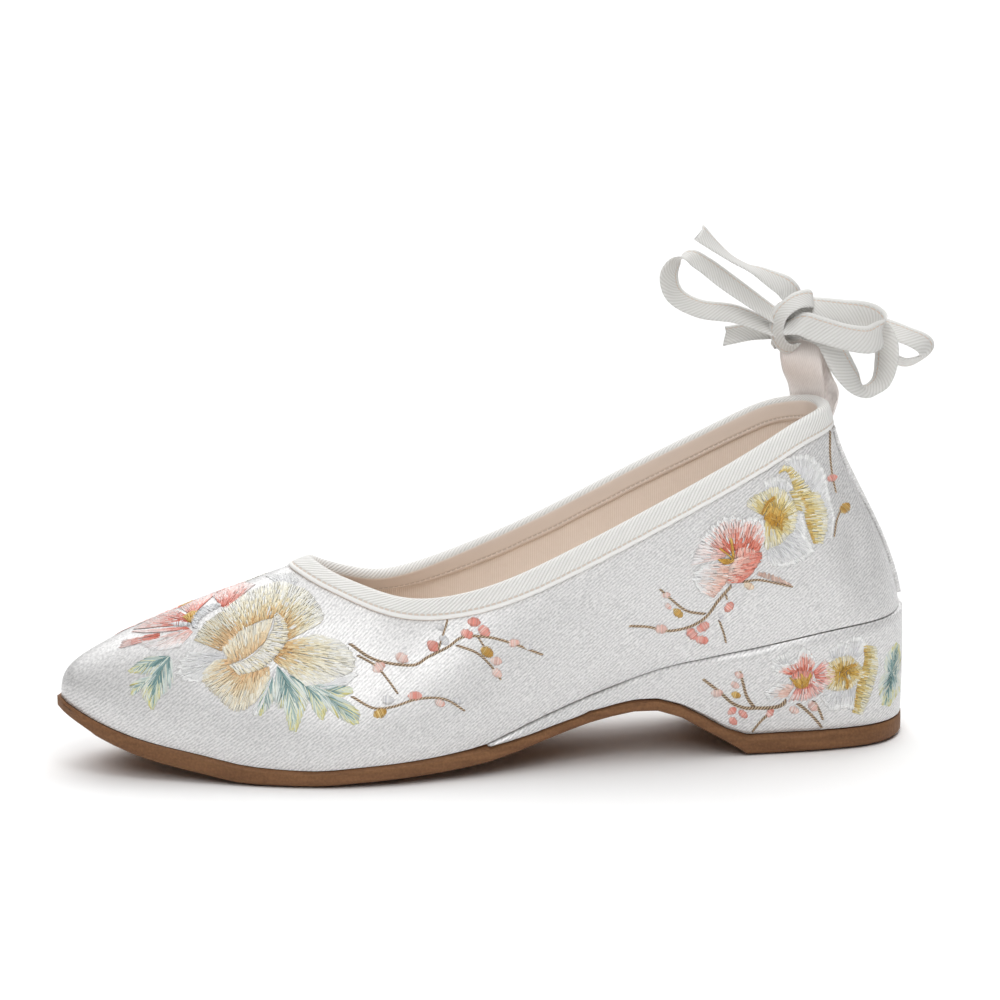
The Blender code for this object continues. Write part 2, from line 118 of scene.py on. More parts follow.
def addNode(finish, kind, inputs=None, **settings):
    node = finish.node_tree.nodes.new(kind)
    for name, value in settings.items():
        setattr(node, name, value)
    for name, value in (inputs or {}).items():
        if isinstance(value, bpy.types.NodeSocket):
            finish.node_tree.links.new(value, node.inputs[name])
        else:
            node.inputs[name].default_value = value
    return node


def newFinish(name, constants):
    finish = bpy.data.materials.new(name)
    finish.use_nodes = True
    shader = finish.node_tree.nodes["Principled BSDF"]
    for socket, value in constants.items():
        shader.inputs[socket].default_value = value
    return finish, shader


def link(finish, output, socket):
    finish.node_tree.links.new(output, socket)


oneWave = math.pi / 10             # scale at which a wave texture repeats once in each unit
satinLook = {
    # light and shade: painted light on the weave's floats, painted shade between them and along the slanting
    # lines
    "light": "#F0EFEE", "shade": "#C2C1C1", "silver": 0.20, "gloss": 0.40,
    "threadWidth": 0.30 * mm,      # floats of the weave, coarser than the real 0.1 mm so that they show
    "threadLength": 0.8 * mm,
    "lines": 0.34,                 # share of the slanting lines in the weave
    "twill": 0.80 * mm,            # from one slanting line of the weave to the next
    "slant": 38,                   # degrees from the sole
    "grainDepth": 0.06 * mm,
    "slubSize": 32 * mm,
    "slubDepth": 0.30 * mm,
}
# The tab's satin: warmer, as its cloth is pinker, and lighter as well, which is painted light against the
# shade on the tab; its light and shade tones are painted light and shade of the weave, as on the upper
tabLook = {
    "light": "#F2EAE5", "shade": "#E6DDD8", "silver": 0.10, "gloss": 0.45,
    "threadWidth": 0.20 * mm, "threadLength": 1.7 * mm, "lines": 0.42, "twill": 0.5 * mm, "slant": 80,
    "grainDepth": 0.03 * mm, "slubSize": 20 * mm, "slubDepth": 0.1 * mm,
}
satinWeave = {
    # What both satins share
    "sheen": 0.08, "sheenSpread": 0.4,
    "threadDepth": 1.2 * mm,       # size of the floats through the cloth
    "floatDetail": 0.5, "floatRoughness": 0.5, "slubDetail": 1.0,
    "waver": 2.6, "waverDetail": 2.0, "waverScale": 1.5,     # how unevenly the slanting lines run
    "shadeAt": 0.20, "lightAt": 0.78,                        # height of the weave where each colour is full
}


def makeSatin(name, look):
    # Duchess satin: long floats lie one way, so it is smooth with a soft diagonal grain and a silver sheen;
    # the grain's tone is painted shade in the hollows and along the slanting lines and painted light on the
    # floats;
    # the floats mirror light as a metal does in part, so a share of metal stands for them
    finish, shader = newFinish(name, {
        "Metallic": look["silver"], "Roughness": look["gloss"],
        "Sheen Weight": satinWeave["sheen"], "Sheen Roughness": satinWeave["sheenSpread"]})
    place = addNode(finish, "ShaderNodeTexCoord").outputs["Object"]
    slope = (0, -math.radians(look["slant"]), 0)
    turned = addNode(finish, "ShaderNodeMapping", {
        "Vector": place, "Rotation": slope,
        "Scale": (look["threadLength"], satinWeave["threadDepth"], look["threadWidth"])},
        vector_type="TEXTURE")
    floats = addNode(finish, "ShaderNodeTexNoise", {
        "Vector": turned.outputs["Vector"], "Scale": 1.0,
        "Detail": satinWeave["floatDetail"], "Roughness": satinWeave["floatRoughness"]})
    slanted = addNode(finish, "ShaderNodeMapping", {
        "Vector": place, "Rotation": slope, "Scale": (look["twill"],) * 3}, vector_type="TEXTURE")
    lines = addNode(finish, "ShaderNodeTexWave", {
        "Vector": slanted.outputs["Vector"], "Scale": oneWave, "Distortion": satinWeave["waver"],
        "Detail": satinWeave["waverDetail"], "Detail Scale": satinWeave["waverScale"]},
        wave_type="BANDS", bands_direction="Z")
    calm = addNode(finish, "ShaderNodeAttribute", attribute_name="calm")     # 1 where the lines fade out
    lively = addNode(finish, "ShaderNodeMapRange", {
        "Value": calm.outputs["Fac"], "To Min": look["lines"], "To Max": 0.0})
    evened = addNode(finish, "ShaderNodeMath", {0: lines.outputs["Fac"], 1: 0.5}, operation="SUBTRACT")
    weave = addNode(finish, "ShaderNodeMath", {
        0: evened.outputs["Value"], 1: lively.outputs["Result"], 2: floats.outputs["Fac"]},
        operation="MULTIPLY_ADD")
    slubs = addNode(finish, "ShaderNodeTexNoise", {
        "Vector": place, "Scale": 1 / look["slubSize"], "Detail": satinWeave["slubDetail"]})
    tone = addNode(finish, "ShaderNodeMapRange", {
        "Value": weave.outputs["Value"],
        "From Min": satinWeave["shadeAt"], "From Max": satinWeave["lightAt"]})
    # Painted shade and light: the weave's hollows and slanting lines take the shade colour, its raised
    # floats the light colour
    colour = addNode(finish, "ShaderNodeMixRGB", {
        "Fac": tone.outputs["Result"], "Color1": toLinear(look["shade"]), "Color2": toLinear(look["light"])})
    broad = addNode(finish, "ShaderNodeBump", {
        "Height": slubs.outputs["Fac"], "Strength": 1.0, "Distance": look["slubDepth"]})
    fine = addNode(finish, "ShaderNodeBump", {
        "Height": weave.outputs["Value"], "Strength": 1.0, "Distance": look["grainDepth"],
        "Normal": broad.outputs["Normal"]})
    link(finish, colour.outputs["Color"], shader.inputs["Base Color"])
    link(finish, fine.outputs["Normal"], shader.inputs["Normal"])
    return finish


liningLook = {
    # light and shade: painted light on the rib crests, painted shade in their hollows
    "light": "#F3E6DA", "shade": "#EADBCD",
    "gloss": 0.88, "mirror": 0.2, "sheen": 0.25, "sheenSpread": 0.6,
    "ribPitch": 0.62 * mm, "ribDepth": 0.05 * mm, "ribBump": 0.7,
    "waver": 1.0, "waverDetail": 2.0, "waverScale": 0.3,       # how unevenly the ribs run
    "fuzz": 1.1 * mm, "fuzzDetail": 3.0,
    "shadeAt": 0.5, "lightAt": 1.5,
}


def makeLining():
    # Brushed cotton rep: matt, with fine upright ribs; painted shade in the rib hollows, random tone from
    # the fuzz
    finish, shader = newFinish("cottonRep", {
        "Roughness": liningLook["gloss"], "Specular IOR Level": liningLook["mirror"],
        "Sheen Weight": liningLook["sheen"], "Sheen Roughness": liningLook["sheenSpread"]})
    place = addNode(finish, "ShaderNodeTexCoord").outputs["Object"]
    ribs = addNode(finish, "ShaderNodeTexWave", {
        "Vector": place, "Scale": oneWave / liningLook["ribPitch"], "Distortion": liningLook["waver"],
        "Detail": liningLook["waverDetail"], "Detail Scale": liningLook["waverScale"]},
        wave_type="BANDS", bands_direction="X")
    fuzz = addNode(finish, "ShaderNodeTexNoise", {
        "Vector": place, "Scale": 1 / liningLook["fuzz"], "Detail": liningLook["fuzzDetail"]})
    both = addNode(finish, "ShaderNodeMath", {
        0: ribs.outputs["Fac"], 1: fuzz.outputs["Fac"]}, operation="ADD")
    tone = addNode(finish, "ShaderNodeMapRange", {
        "Value": both.outputs["Value"],
        "From Min": liningLook["shadeAt"], "From Max": liningLook["lightAt"]})
    # Painted shade in the rib hollows and painted light on their crests, with random tone from the fuzz
    colour = addNode(finish, "ShaderNodeMixRGB", {
        "Fac": tone.outputs["Result"],
        "Color1": toLinear(liningLook["shade"]), "Color2": toLinear(liningLook["light"])})
    bump = addNode(finish, "ShaderNodeBump", {
        "Height": both.outputs["Value"],
        "Strength": liningLook["ribBump"], "Distance": liningLook["ribDepth"]})
    link(finish, colour.outputs["Color"], shader.inputs["Base Color"])
    link(finish, bump.outputs["Normal"], shader.inputs["Normal"])
    return finish


rubberLook = {
    "light": "#8C6341", "shade": "#6B482D",
    "gloss": 0.68, "mirror": 0.35,
    "grit": 0.7 * mm, "gritDetail": 3.0, "gritDepth": 0.05 * mm, "gritBump": 0.8,
    "streak": 14 * mm, "streakDetail": 4.0, "flatten": 9,      # streaks are this much longer than high
    "shadeAt": 0.65, "lightAt": 1.35,
}


def makeRubber():
    # Moulded crepe rubber: matt brown with a fine grit and slow streaks along the edge
    finish, shader = newFinish("mouldedRubber", {
        "Roughness": rubberLook["gloss"], "Specular IOR Level": rubberLook["mirror"]})
    place = addNode(finish, "ShaderNodeTexCoord").outputs["Object"]
    grit = addNode(finish, "ShaderNodeTexNoise", {
        "Vector": place, "Scale": 1 / rubberLook["grit"], "Detail": rubberLook["gritDetail"]})
    drawn = addNode(finish, "ShaderNodeMapping", {"Vector": place, "Scale": (1, 1, rubberLook["flatten"])})
    streaks = addNode(finish, "ShaderNodeTexNoise", {
        "Vector": drawn.outputs["Vector"], "Scale": 1 / rubberLook["streak"],
        "Detail": rubberLook["streakDetail"]})
    both = addNode(finish, "ShaderNodeMath", {
        0: grit.outputs["Fac"], 1: streaks.outputs["Fac"]}, operation="ADD")
    tone = addNode(finish, "ShaderNodeMapRange", {
        "Value": both.outputs["Value"],
        "From Min": rubberLook["shadeAt"], "From Max": rubberLook["lightAt"]})
    colour = addNode(finish, "ShaderNodeMixRGB", {
        "Fac": tone.outputs["Result"],
        "Color1": toLinear(rubberLook["shade"]), "Color2": toLinear(rubberLook["light"])})
    bump = addNode(finish, "ShaderNodeBump", {
        "Height": grit.outputs["Fac"],
        "Strength": rubberLook["gritBump"], "Distance": rubberLook["gritDepth"]})
    link(finish, colour.outputs["Color"], shader.inputs["Base Color"])
    link(finish, bump.outputs["Normal"], shader.inputs["Normal"])
    return finish


bindingLook = {
    # Sizes in mm along or across the tape, apart from depths
    # light and shade: painted light on the rib tops, painted shade in the rib hollows and seam grooves
    "light": "#F1F0ED", "shade": "#D6D4D0", "ribPitch": 1.45, "ribDepth": 0.13 * mm, "lean": 1.35,
    "seam": 1.6, "innerSeam": 15.2, "seamWidth": 0.5, "stitch": 0.8, "threadHalf": 0.26, "hem": 1.6,
    "threadColour": "#D2C4B8", "foldAt": 10.2, "foldColour": "#E8DACE",
}
ribbonLook = {
    # light and shade: painted light on the rib tops, painted shade in the rib hollows and seam grooves
    "light": "#D9D8D5", "shade": "#CBC9C5", "ribPitch": 1.15, "ribDepth": 0.07 * mm, "lean": 0.8,
    "seam": 1.5, "innerSeam": 20.0, "seamWidth": 0.45, "stitch": 0.75, "threadHalf": 0.13, "hem": 0.9,
    "threadColour": "#CDB5A2", "foldAt": 12.0, "foldColour": "#EFE6DA",
}
tapeWeave = {
    # What both tapes share
    "gloss": 0.7, "mirror": 0.3, "sheen": 0.15, "sheenSpread": 0.5,
    "foldBlend": 0.6,              # mm over which the ribs end at the fold
    "ribLow": -0.9, "ribHigh": 0.6,        # part of the wave that shapes a rib
    "seamFloor": 0.1,              # mm, half the width of a seam's floor
    "gapShare": 0.3,               # gap between two stitches, as a share of half their pitch
    "ribBump": 0.9,
}


def makeTape(name, look):
    # Cotton herringbone tape: diagonal ribs, read from the tape's own UV map in millimetres (along, across)
    finish, shader = newFinish(name, {
        "Roughness": tapeWeave["gloss"], "Specular IOR Level": tapeWeave["mirror"],
        "Sheen Weight": tapeWeave["sheen"], "Sheen Roughness": tapeWeave["sheenSpread"]})
    place = addNode(finish, "ShaderNodeUVMap", uv_map="tape")
    parts = addNode(finish, "ShaderNodeSeparateXYZ", {"Vector": place.outputs["UV"]})
    along = parts.outputs["X"]
    across = parts.outputs["Y"]
    shifted = addNode(finish, "ShaderNodeMath", {
        0: across, 1: look["lean"], 2: along}, operation="MULTIPLY_ADD")
    phase = addNode(finish, "ShaderNodeMath", {
        0: shifted.outputs["Value"], 1: 2 * math.pi / look["ribPitch"]}, operation="MULTIPLY")
    wave = addNode(finish, "ShaderNodeMath", {0: phase.outputs["Value"]}, operation="SINE")
    edge = addNode(finish, "ShaderNodeMapRange", {
        "Value": across, "From Min": look["foldAt"], "From Max": look["foldAt"] + tapeWeave["foldBlend"]})
    ribbed = addNode(finish, "ShaderNodeMapRange", {
        "Value": wave.outputs["Value"], "From Min": tapeWeave["ribLow"], "From Max": tapeWeave["ribHigh"]})
    hem = addNode(finish, "ShaderNodeMath", {0: across, 1: look["hem"]}, operation="LESS_THAN")
    plain = addNode(finish, "ShaderNodeMath", {
        0: edge.outputs["Result"], 1: hem.outputs["Value"]}, operation="MAXIMUM")
    rib = addNode(finish, "ShaderNodeMath", {
        0: ribbed.outputs["Result"], 1: plain.outputs["Value"]}, operation="MAXIMUM")
    fromSeams = []
    for seam in (look["seam"], look["innerSeam"]):
        off = addNode(finish, "ShaderNodeMath", {0: across, 1: seam}, operation="SUBTRACT")
        fromSeams.append(addNode(finish, "ShaderNodeMath", {0: off.outputs["Value"]}, operation="ABSOLUTE"))
    seamFar = addNode(finish, "ShaderNodeMath", {
        0: fromSeams[0].outputs["Value"], 1: fromSeams[1].outputs["Value"]}, operation="MINIMUM")
    groove = addNode(finish, "ShaderNodeMapRange", {
        "Value": seamFar.outputs["Value"],
        "From Min": tapeWeave["seamFloor"], "From Max": look["seamWidth"]})
    height = addNode(finish, "ShaderNodeMath", {
        0: rib.outputs["Value"], 1: groove.outputs["Result"]}, operation="MULTIPLY")
    # Painted shade: the tape is darker in the hollows between its ribs and in the seam grooves, lighter on
    # the rib tops
    colour = addNode(finish, "ShaderNodeMixRGB", {
        "Fac": height.outputs["Value"],
        "Color1": toLinear(look["shade"]), "Color2": toLinear(look["light"])})
    tick = addNode(finish, "ShaderNodeMath", {0: along, 1: look["stitch"]}, operation="PINGPONG")
    dash = addNode(finish, "ShaderNodeMath", {
        0: tick.outputs["Value"], 1: look["stitch"] * tapeWeave["gapShare"]}, operation="GREATER_THAN")
    onSeam = addNode(finish, "ShaderNodeMath", {
        0: seamFar.outputs["Value"], 1: look["threadHalf"]}, operation="LESS_THAN")
    thread = addNode(finish, "ShaderNodeMath", {
        0: dash.outputs["Value"], 1: onSeam.outputs["Value"]}, operation="MULTIPLY")
    cloth = addNode(finish, "ShaderNodeMixRGB", {
        "Fac": edge.outputs["Result"],
        "Color1": colour.outputs["Color"], "Color2": toLinear(look["foldColour"])})
    whole = addNode(finish, "ShaderNodeMixRGB", {
        "Fac": thread.outputs["Value"],
        "Color1": cloth.outputs["Color"], "Color2": toLinear(look["threadColour"])})
    bump = addNode(finish, "ShaderNodeBump", {
        "Height": height.outputs["Value"], "Strength": tapeWeave["ribBump"], "Distance": look["ribDepth"]})
    link(finish, whole.outputs["Color"], shader.inputs["Base Color"])
    link(finish, bump.outputs["Normal"], shader.inputs["Normal"])
    return finish


silkLook = {"gloss": 0.38, "mirror": 0.5, "sheen": 0.1}


def makeThread():
    # Stranded silk: a soft gloss along each stitch; its colour is stored on the mesh
    finish, shader = newFinish("strandedSilk", {
        "Roughness": silkLook["gloss"], "Specular IOR Level": silkLook["mirror"],
        "Sheen Weight": silkLook["sheen"]})
    dye = addNode(finish, "ShaderNodeVertexColor", layer_name="dye")
    link(finish, dye.outputs["Color"], shader.inputs["Base Color"])
    return finish


satin = makeSatin("duchessSatin", satinLook)
tabSatin = makeSatin("satinTab", tabLook)
lining = makeLining()
rubber = makeRubber()
bindingTape = makeTape("herringboneBinding", bindingLook)
ribbonTape = makeTape("herringboneRibbon", ribbonLook)
silk = makeThread()
print("finishes made")


# Shared mesh work
meshWork = {
    "weld": 0.00001,                  # metres, closer points are merged
    "quadFace": math.radians(40),     # limits for joining two triangles to a quad
    "quadShape": math.radians(60),
    "smoothUnder": math.radians(48),  # edges flatter than this are shaded smooth
}


def onlyActive(piece):
    bpy.ops.object.select_all(action="DESELECT")
    piece.select_set(True)
    bpy.context.view_layer.objects.active = piece


def copyOfNode(nodeName, pieceName, *finishes):
    # A solid's mesh as a new piece: points merged, triangles joined, finishes put on
    piece = bpy.data.objects.new(pieceName, frame["nodes"][nodeName].data.copy())
    piece.data.name = pieceName
    bpy.context.scene.collection.objects.link(piece)
    piece.data.materials.clear()
    for finish in finishes:
        piece.data.materials.append(finish)
    onlyActive(piece)
    bpy.ops.mesh.customdata_custom_splitnormals_clear()
    bpy.ops.object.mode_set(mode="EDIT")
    bpy.ops.mesh.select_all(action="SELECT")
    bpy.ops.mesh.remove_doubles(threshold=meshWork["weld"])
    bpy.ops.mesh.tris_convert_to_quads(
        face_threshold=meshWork["quadFace"], shape_threshold=meshWork["quadShape"])
    bpy.ops.object.mode_set(mode="OBJECT")
    return piece


def refine(piece, levels, sharp, crease):
    # Subdivides a piece; edges over so many degrees are creased first, so that they stay crisp
    onlyActive(piece)
    bpy.ops.object.mode_set(mode="EDIT")
    bpy.ops.mesh.select_all(action="DESELECT")
    bpy.ops.mesh.edges_select_sharp(sharpness=math.radians(sharp))
    bpy.ops.transform.edge_crease(value=crease)
    bpy.ops.object.mode_set(mode="OBJECT")
    smooth = piece.modifiers.new("refine", "SUBSURF")
    smooth.levels = levels
    smooth.render_levels = levels
    bpy.ops.object.modifier_apply(modifier="refine")
    bpy.ops.object.shade_smooth_by_angle(angle=meshWork["smoothUnder"])


def dress(piece, slotName, *nodes):
    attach(piece, "root")
    if nodes:
        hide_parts(*nodes)


def meshPiece(name, points, faces, finish):
    data = bpy.data.meshes.new(name)
    data.from_pydata([tuple(p) for p in points], [], faces)
    data.materials.append(finish)
    piece = bpy.data.objects.new(name, data)
    bpy.context.scene.collection.objects.link(piece)
    data.shade_smooth()
    return piece


def faceOutwards(piece):
    onlyActive(piece)
    bpy.ops.object.mode_set(mode="EDIT")
    bpy.ops.mesh.select_all(action="SELECT")
    bpy.ops.mesh.normals_make_consistent(inside=False)
    bpy.ops.object.mode_set(mode="OBJECT")


def coordinates(piece):
    flat = np.empty(len(piece.data.vertices) * 3)
    piece.data.vertices.foreach_get("co", flat)
    return flat.reshape(-1, 3)


def skinTree(piece, keep=None):
    faces = [tuple(f.vertices) for f in piece.data.polygons if keep is None or keep(f)]
    return BVHTree.FromPolygons([v.co.copy() for v in piece.data.vertices], faces)


# Upper: satin outside, lining inside, soft creases pressed into its wall
shoe = {
    "heelBack": 122.67 * mm,     # x of the back of the heel, from which stations are counted
    "middle": 1.05 * mm,         # y of the centre line
    "toeDrop": 1.4,              # mm that the satin reaches down over the sole's edge at the toe
    "toeDropFrom": 196,          # mm, station where it starts
    "toeDropOver": 40,           # mm over which it grows
    "toeDropFade": 7,            # mm above the sole, where it ends
    "innerAxis": [               # station and height, mm, of a line that runs inside the whole shoe
        (25, 60), (60, 55), (110, 36), (150, 24), (190, 22), (225, 24)],
    "foot": [                    # station and height, mm, of the upper's lower edge
        (0, 37.5), (52, 31), (83, 25), (128, 8.3), (172, 4.4), (190, 5.1), (245, 21)],
    "creaseFrom": 1.5,           # mm above the lower edge, where the creases start
    "creaseOver": 5,             # mm over which they reach their depth
    "creasePast": 0.25,          # how far a crease runs past each end, as a share of its length
    "creaseFull": 1.25,          # its strength in the middle (cut off at 1)
    "creaseFade": 1.6,           # and what it loses from there, for its whole length
    "ripple": 0.10,              # mm
    "ripplePitch": 16,           # mm
    "calmFrom": 0.5,             # how square the wall is to the slanting lines where they start to fade
    "calmOver": 0.35,
}
creases = [
    # name, station and height at one end, at the other, half width, depth (ridges are negative), all in mm
    ("back quarter fold, upper", 26, 90, 21, 73, 4.4, 2.6),
    ("back quarter fold, lower", 20, 72, 18, 48, 4.6, 2.8),
    ("back quarter ridge", 33, 78, 27, 48, 5.0, -0.6),
    ("waist pull", 96, 52, 72, 36, 6.0, 0.35),
    ("instep pull", 134, 40, 118, 16, 5.0, 0.40),
    ("ball fold", 158, 36, 150, 10, 5.5, 0.35),
    ("vamp press", 206, 34, 186, 12, 6.5, 0.30),
    ("toe press", 228, 27, 214, 15, 5.0, 0.25),
]


def axisPoint(x):
    stations = [row[0] for row in shoe["innerAxis"]]
    heights = [row[1] for row in shoe["innerAxis"]]
    station = min(max((shoe["heelBack"] - x) / mm, stations[0]), stations[-1])
    height = float(np.interp(station, stations, heights))
    return Vector((shoe["heelBack"] - station * mm, shoe["middle"], height * mm))


def facesOut(face):
    return face.normal.dot(face.center - axisPoint(face.center.x)) > 0


def creaseDepth(station, height):
    # Each crease is a soft trough along its line that runs out a little past both ends
    total = 0.0
    for _, s0, z0, s1, z1, half, depth in creases:
        run = np.array((s1 - s0, z1 - z0))
        share = ((station - s0) * run[0] + (height - z0) * run[1]) / run.dot(run)
        share = np.clip(share, -shoe["creasePast"], 1 + shoe["creasePast"])
        off = np.hypot(station - s0 - share * run[0], height - z0 - share * run[1])
        fade = np.clip(shoe["creaseFull"] - np.abs(share - 0.5) * shoe["creaseFade"], 0, 1)
        total = total + depth * fade * np.exp(-(off / half) ** 2)
    return total


rippleWaves = [
    # radians in each pitch along x, y and z, and where the wave starts
    (6.3, 0, 2.1, 0), (-1.7, 0, 5.2, 1.0), (3.9, 4.4, 3.9, 2.0)]


def ripple(place, pitch):
    # A slow, even unevenness of pulled cloth, from three crossing waves
    x, y, z = (place[:, i] / mm / pitch for i in range(3))
    return sum(np.sin(x * a + y * b + z * c + start) for a, b, c, start in rippleWaves) / len(rippleWaves)


def toeDrop(station):
    share = np.clip((station - shoe["toeDropFrom"]) / shoe["toeDropOver"], 0, 1)
    return shoe["toeDrop"] * share * share * (3 - 2 * share)


def pressIn(place):
    # The wall's creases, fading out towards the sole
    station = (shoe["heelBack"] - place[:, 0]) / mm
    press = creaseDepth(station, place[:, 2] / mm) - shoe["ripple"] * ripple(place, shoe["ripplePitch"])
    outward = np.array([(Vector(p) - axisPoint(p[0])).normalized() for p in place])
    lowest = np.interp(station, [row[0] for row in shoe["foot"]], [row[1] for row in shoe["foot"]])
    above = place[:, 2] / mm - lowest
    footFade = np.clip((above - shoe["creaseFrom"]) / shoe["creaseOver"], 0, 1)
    place = place - outward * (press * footFade * mm)[:, None]
    place[:, 2] -= toeDrop(station) * np.clip(1 - above / shoe["toeDropFade"], 0, 1) * mm
    return place


def markCalm(piece, values):
    calm = piece.data.attributes.new("calm", "FLOAT", "POINT")
    calm.data.foreach_set("value", values)


def capCalm(piece):
    # The slanting lines fade where a wall turns square to them, as on the toe, so that they form no rings
    slope = math.radians(satinLook["slant"])
    across = Vector((-math.sin(slope), 0, math.cos(slope)))
    square = [vert.normal.dot(across) for vert in piece.data.vertices]
    return [min(max((share - shoe["calmFrom"]) / shoe["calmOver"], 0), 1) for share in square]


upper = copyOfNode("upper", "satinUpper", satin, lining)
refine(upper, levels=2, sharp=50, crease=0.9)
upper.data.vertices.foreach_set("co", pressIn(coordinates(upper)).ravel())
upper.data.update()
markCalm(upper, capCalm(upper))
for face in upper.data.polygons:
    face.material_index = 0 if facesOut(face) else 1
dress(upper, "satin", "upper")
print("upper dressed", len(upper.data.polygons))


# Covered heel, sole and insole
upward = 0.35                    # a face whose normal rises more than this belongs to a top side
heel = {
    "ripple": 0.12, "ripplePitch": 11,       # mm
    "flankFrom": 12, "flankOver": 6,         # mm from the centre line, where the ripple starts and grows
    "raise": 0.22 * mm,          # closes the gap under the upper
    "raiseFrom": 0.035,          # metres, x behind which the top is raised
}
solePad = 0.27                   # mm, raises the sole's top against the heel and the upper

wedge = copyOfNode("heel_wedge", "satinHeel", satin)
refine(wedge, levels=3, sharp=40, crease=0.9)
place = coordinates(wedge)
outward = np.array([(0, 1 if p[1] > shoe["middle"] else -1, 0) for p in place])
flank = np.clip((np.abs(place[:, 1] - shoe["middle"]) / mm - heel["flankFrom"]) / heel["flankOver"], 0, 1)
place = place + outward * (heel["ripple"] * ripple(place, heel["ripplePitch"]) * flank * mm)[:, None]
onTop = [vert.normal.z > upward and vert.co.x > heel["raiseFrom"] for vert in wedge.data.vertices]
place[:, 2] += np.where(onTop, heel["raise"], 0)
wedge.data.vertices.foreach_set("co", place.ravel())
wedge.data.update()
dress(wedge, "satin", "heel_wedge")
wedgeSkin = skinTree(wedge)

outsole = copyOfNode("outsole", "rubberOutsole", rubber)
refine(outsole, levels=2, sharp=28, crease=0.85)
for vert in outsole.data.vertices:
    if vert.normal.z > upward:
        vert.co.z += (solePad - float(toeDrop((shoe["heelBack"] - vert.co.x) / mm))) * mm
dress(outsole, "rubber", "outsole")

insole = copyOfNode("insole", "clothInsole", lining)
refine(insole, levels=2, sharp=50, crease=0.4)
dress(insole, "lining", "insole")
print("heel, sole and insole dressed")


# Collar: the folded tape is carried round the edge of the upper
binding = {
    "depth": 5.3 * mm, "thick": 0.8 * mm, "gap": 0.25 * mm, "roll": 1.5 * mm,
    "hemAt": 1.25 * mm, "hemDent": 0.28 * mm, "hemSpread": 0.45 * mm,
    "rimShare": 0.45, "rimOver": 0.8 * mm,       # thickness at the tape's edge, and where it is full
    "under": 0.1 * mm,           # from the wall to the tape's hidden side
    "legSteps": 9, "rollSteps": 7, "rings": 416,
    "sharp": math.radians(50),   # fold angle of the upper's cut edges
    "nearRim": 3 * mm,           # faces closer to the collar edge are sorted by their lean across it
    "leanLimit": 0.5,
}


def sharpLoops(nodeName):
    # Closed lines of sharp edges on a solid, from the lowest to the highest
    form = bmesh.new()
    form.from_mesh(frame["nodes"][nodeName].data)
    bmesh.ops.remove_doubles(form, verts=form.verts, dist=meshWork["weld"])
    ties = {}
    for edge in form.edges:
        if len(edge.link_faces) == 2 and edge.calc_face_angle() > binding["sharp"]:
            for vert in edge.verts:
                ties.setdefault(vert, []).append(edge.other_vert(vert))
    loops = []
    left = set(ties)
    while left:
        loop = [max(left, key=lambda v: v.co.x)]
        loop.append(min(ties[loop[0]], key=lambda v: v.co.y))
        while True:
            ahead = [v for v in ties[loop[-1]] if v is not loop[-2]][0]
            if ahead is loop[0]:
                break
            loop.append(ahead)
        left -= set(loop)
        loops.append([v.co.copy() for v in loop])
    form.free()
    return sorted(loops, key=lambda loop: sum(p.z for p in loop) / len(loop))


def bend(a, b, c, d, t):
    # A smooth curve from b to c, with a and d on either side
    return b + 0.5 * t * (c - a + t * (2 * a - 5 * b + 4 * c - d + t * (3 * (b - c) + d - a)))


def smoothLoop(points, count):
    rows = np.array(points)
    total = len(rows)
    out = []
    for k in range(count):
        u = k * total / count
        i = int(u)
        around = [rows[(i + j) % total] for j in (-1, 0, 1, 2)]
        out.append(Vector(bend(*around, u - i)))
    return out


def walkDown(tree, start, ahead, step, steps, side):
    # Points and normals at even steps down a skin, from its upper edge
    spot, normal = tree.find_nearest(start)[:2]
    out = [(spot, normal)]
    for _ in range(steps):
        down = normal.cross(ahead) * side
        spot, normal = tree.find_nearest(spot + down.normalized() * step)[:2]
        out.append((spot, normal))
    return out


def pathLength(points):
    return sum((a - b).length for a, b in zip(points, points[1:]))


rims = sorted(sharpLoops("upper")[2:], key=pathLength)       # the first two run along the sole
rimInner = smoothLoop(rims[0], binding["rings"])
rimOuter = smoothLoop(rims[1], binding["rings"])
rimFinder = KDTree(len(rimOuter))
for k, (a, b) in enumerate(zip(rimOuter, rimInner)):
    rimFinder.insert((a + b) / 2, k)
rimFinder.balance()


def wallSide(face):
    # 1 on the outer skin, -1 on the inner skin, 0 on the cut edge between them
    _, k, far = rimFinder.find(face.center)
    if far > binding["nearRim"]:
        return 1 if facesOut(face) else -1
    lean = face.normal.dot((rimOuter[k] - rimInner[k]).normalized())
    return 0 if abs(lean) < binding["leanLimit"] else math.copysign(1, lean)


upperSkin = skinTree(upper, lambda face: wallSide(face) == 1)
upperInside = skinTree(upper, lambda face: wallSide(face) == -1)


def ringAhead(loop, k):
    return (loop[(k + 1) % len(loop)] - loop[k - 1]).normalized()


def tapeLift(fromEdge):
    # How far the tape's seen side lies off the wall, thinner towards its edge
    rim = min(1, binding["rimShare"] + fromEdge / binding["rimOver"])
    return binding["gap"] + binding["thick"] * rim


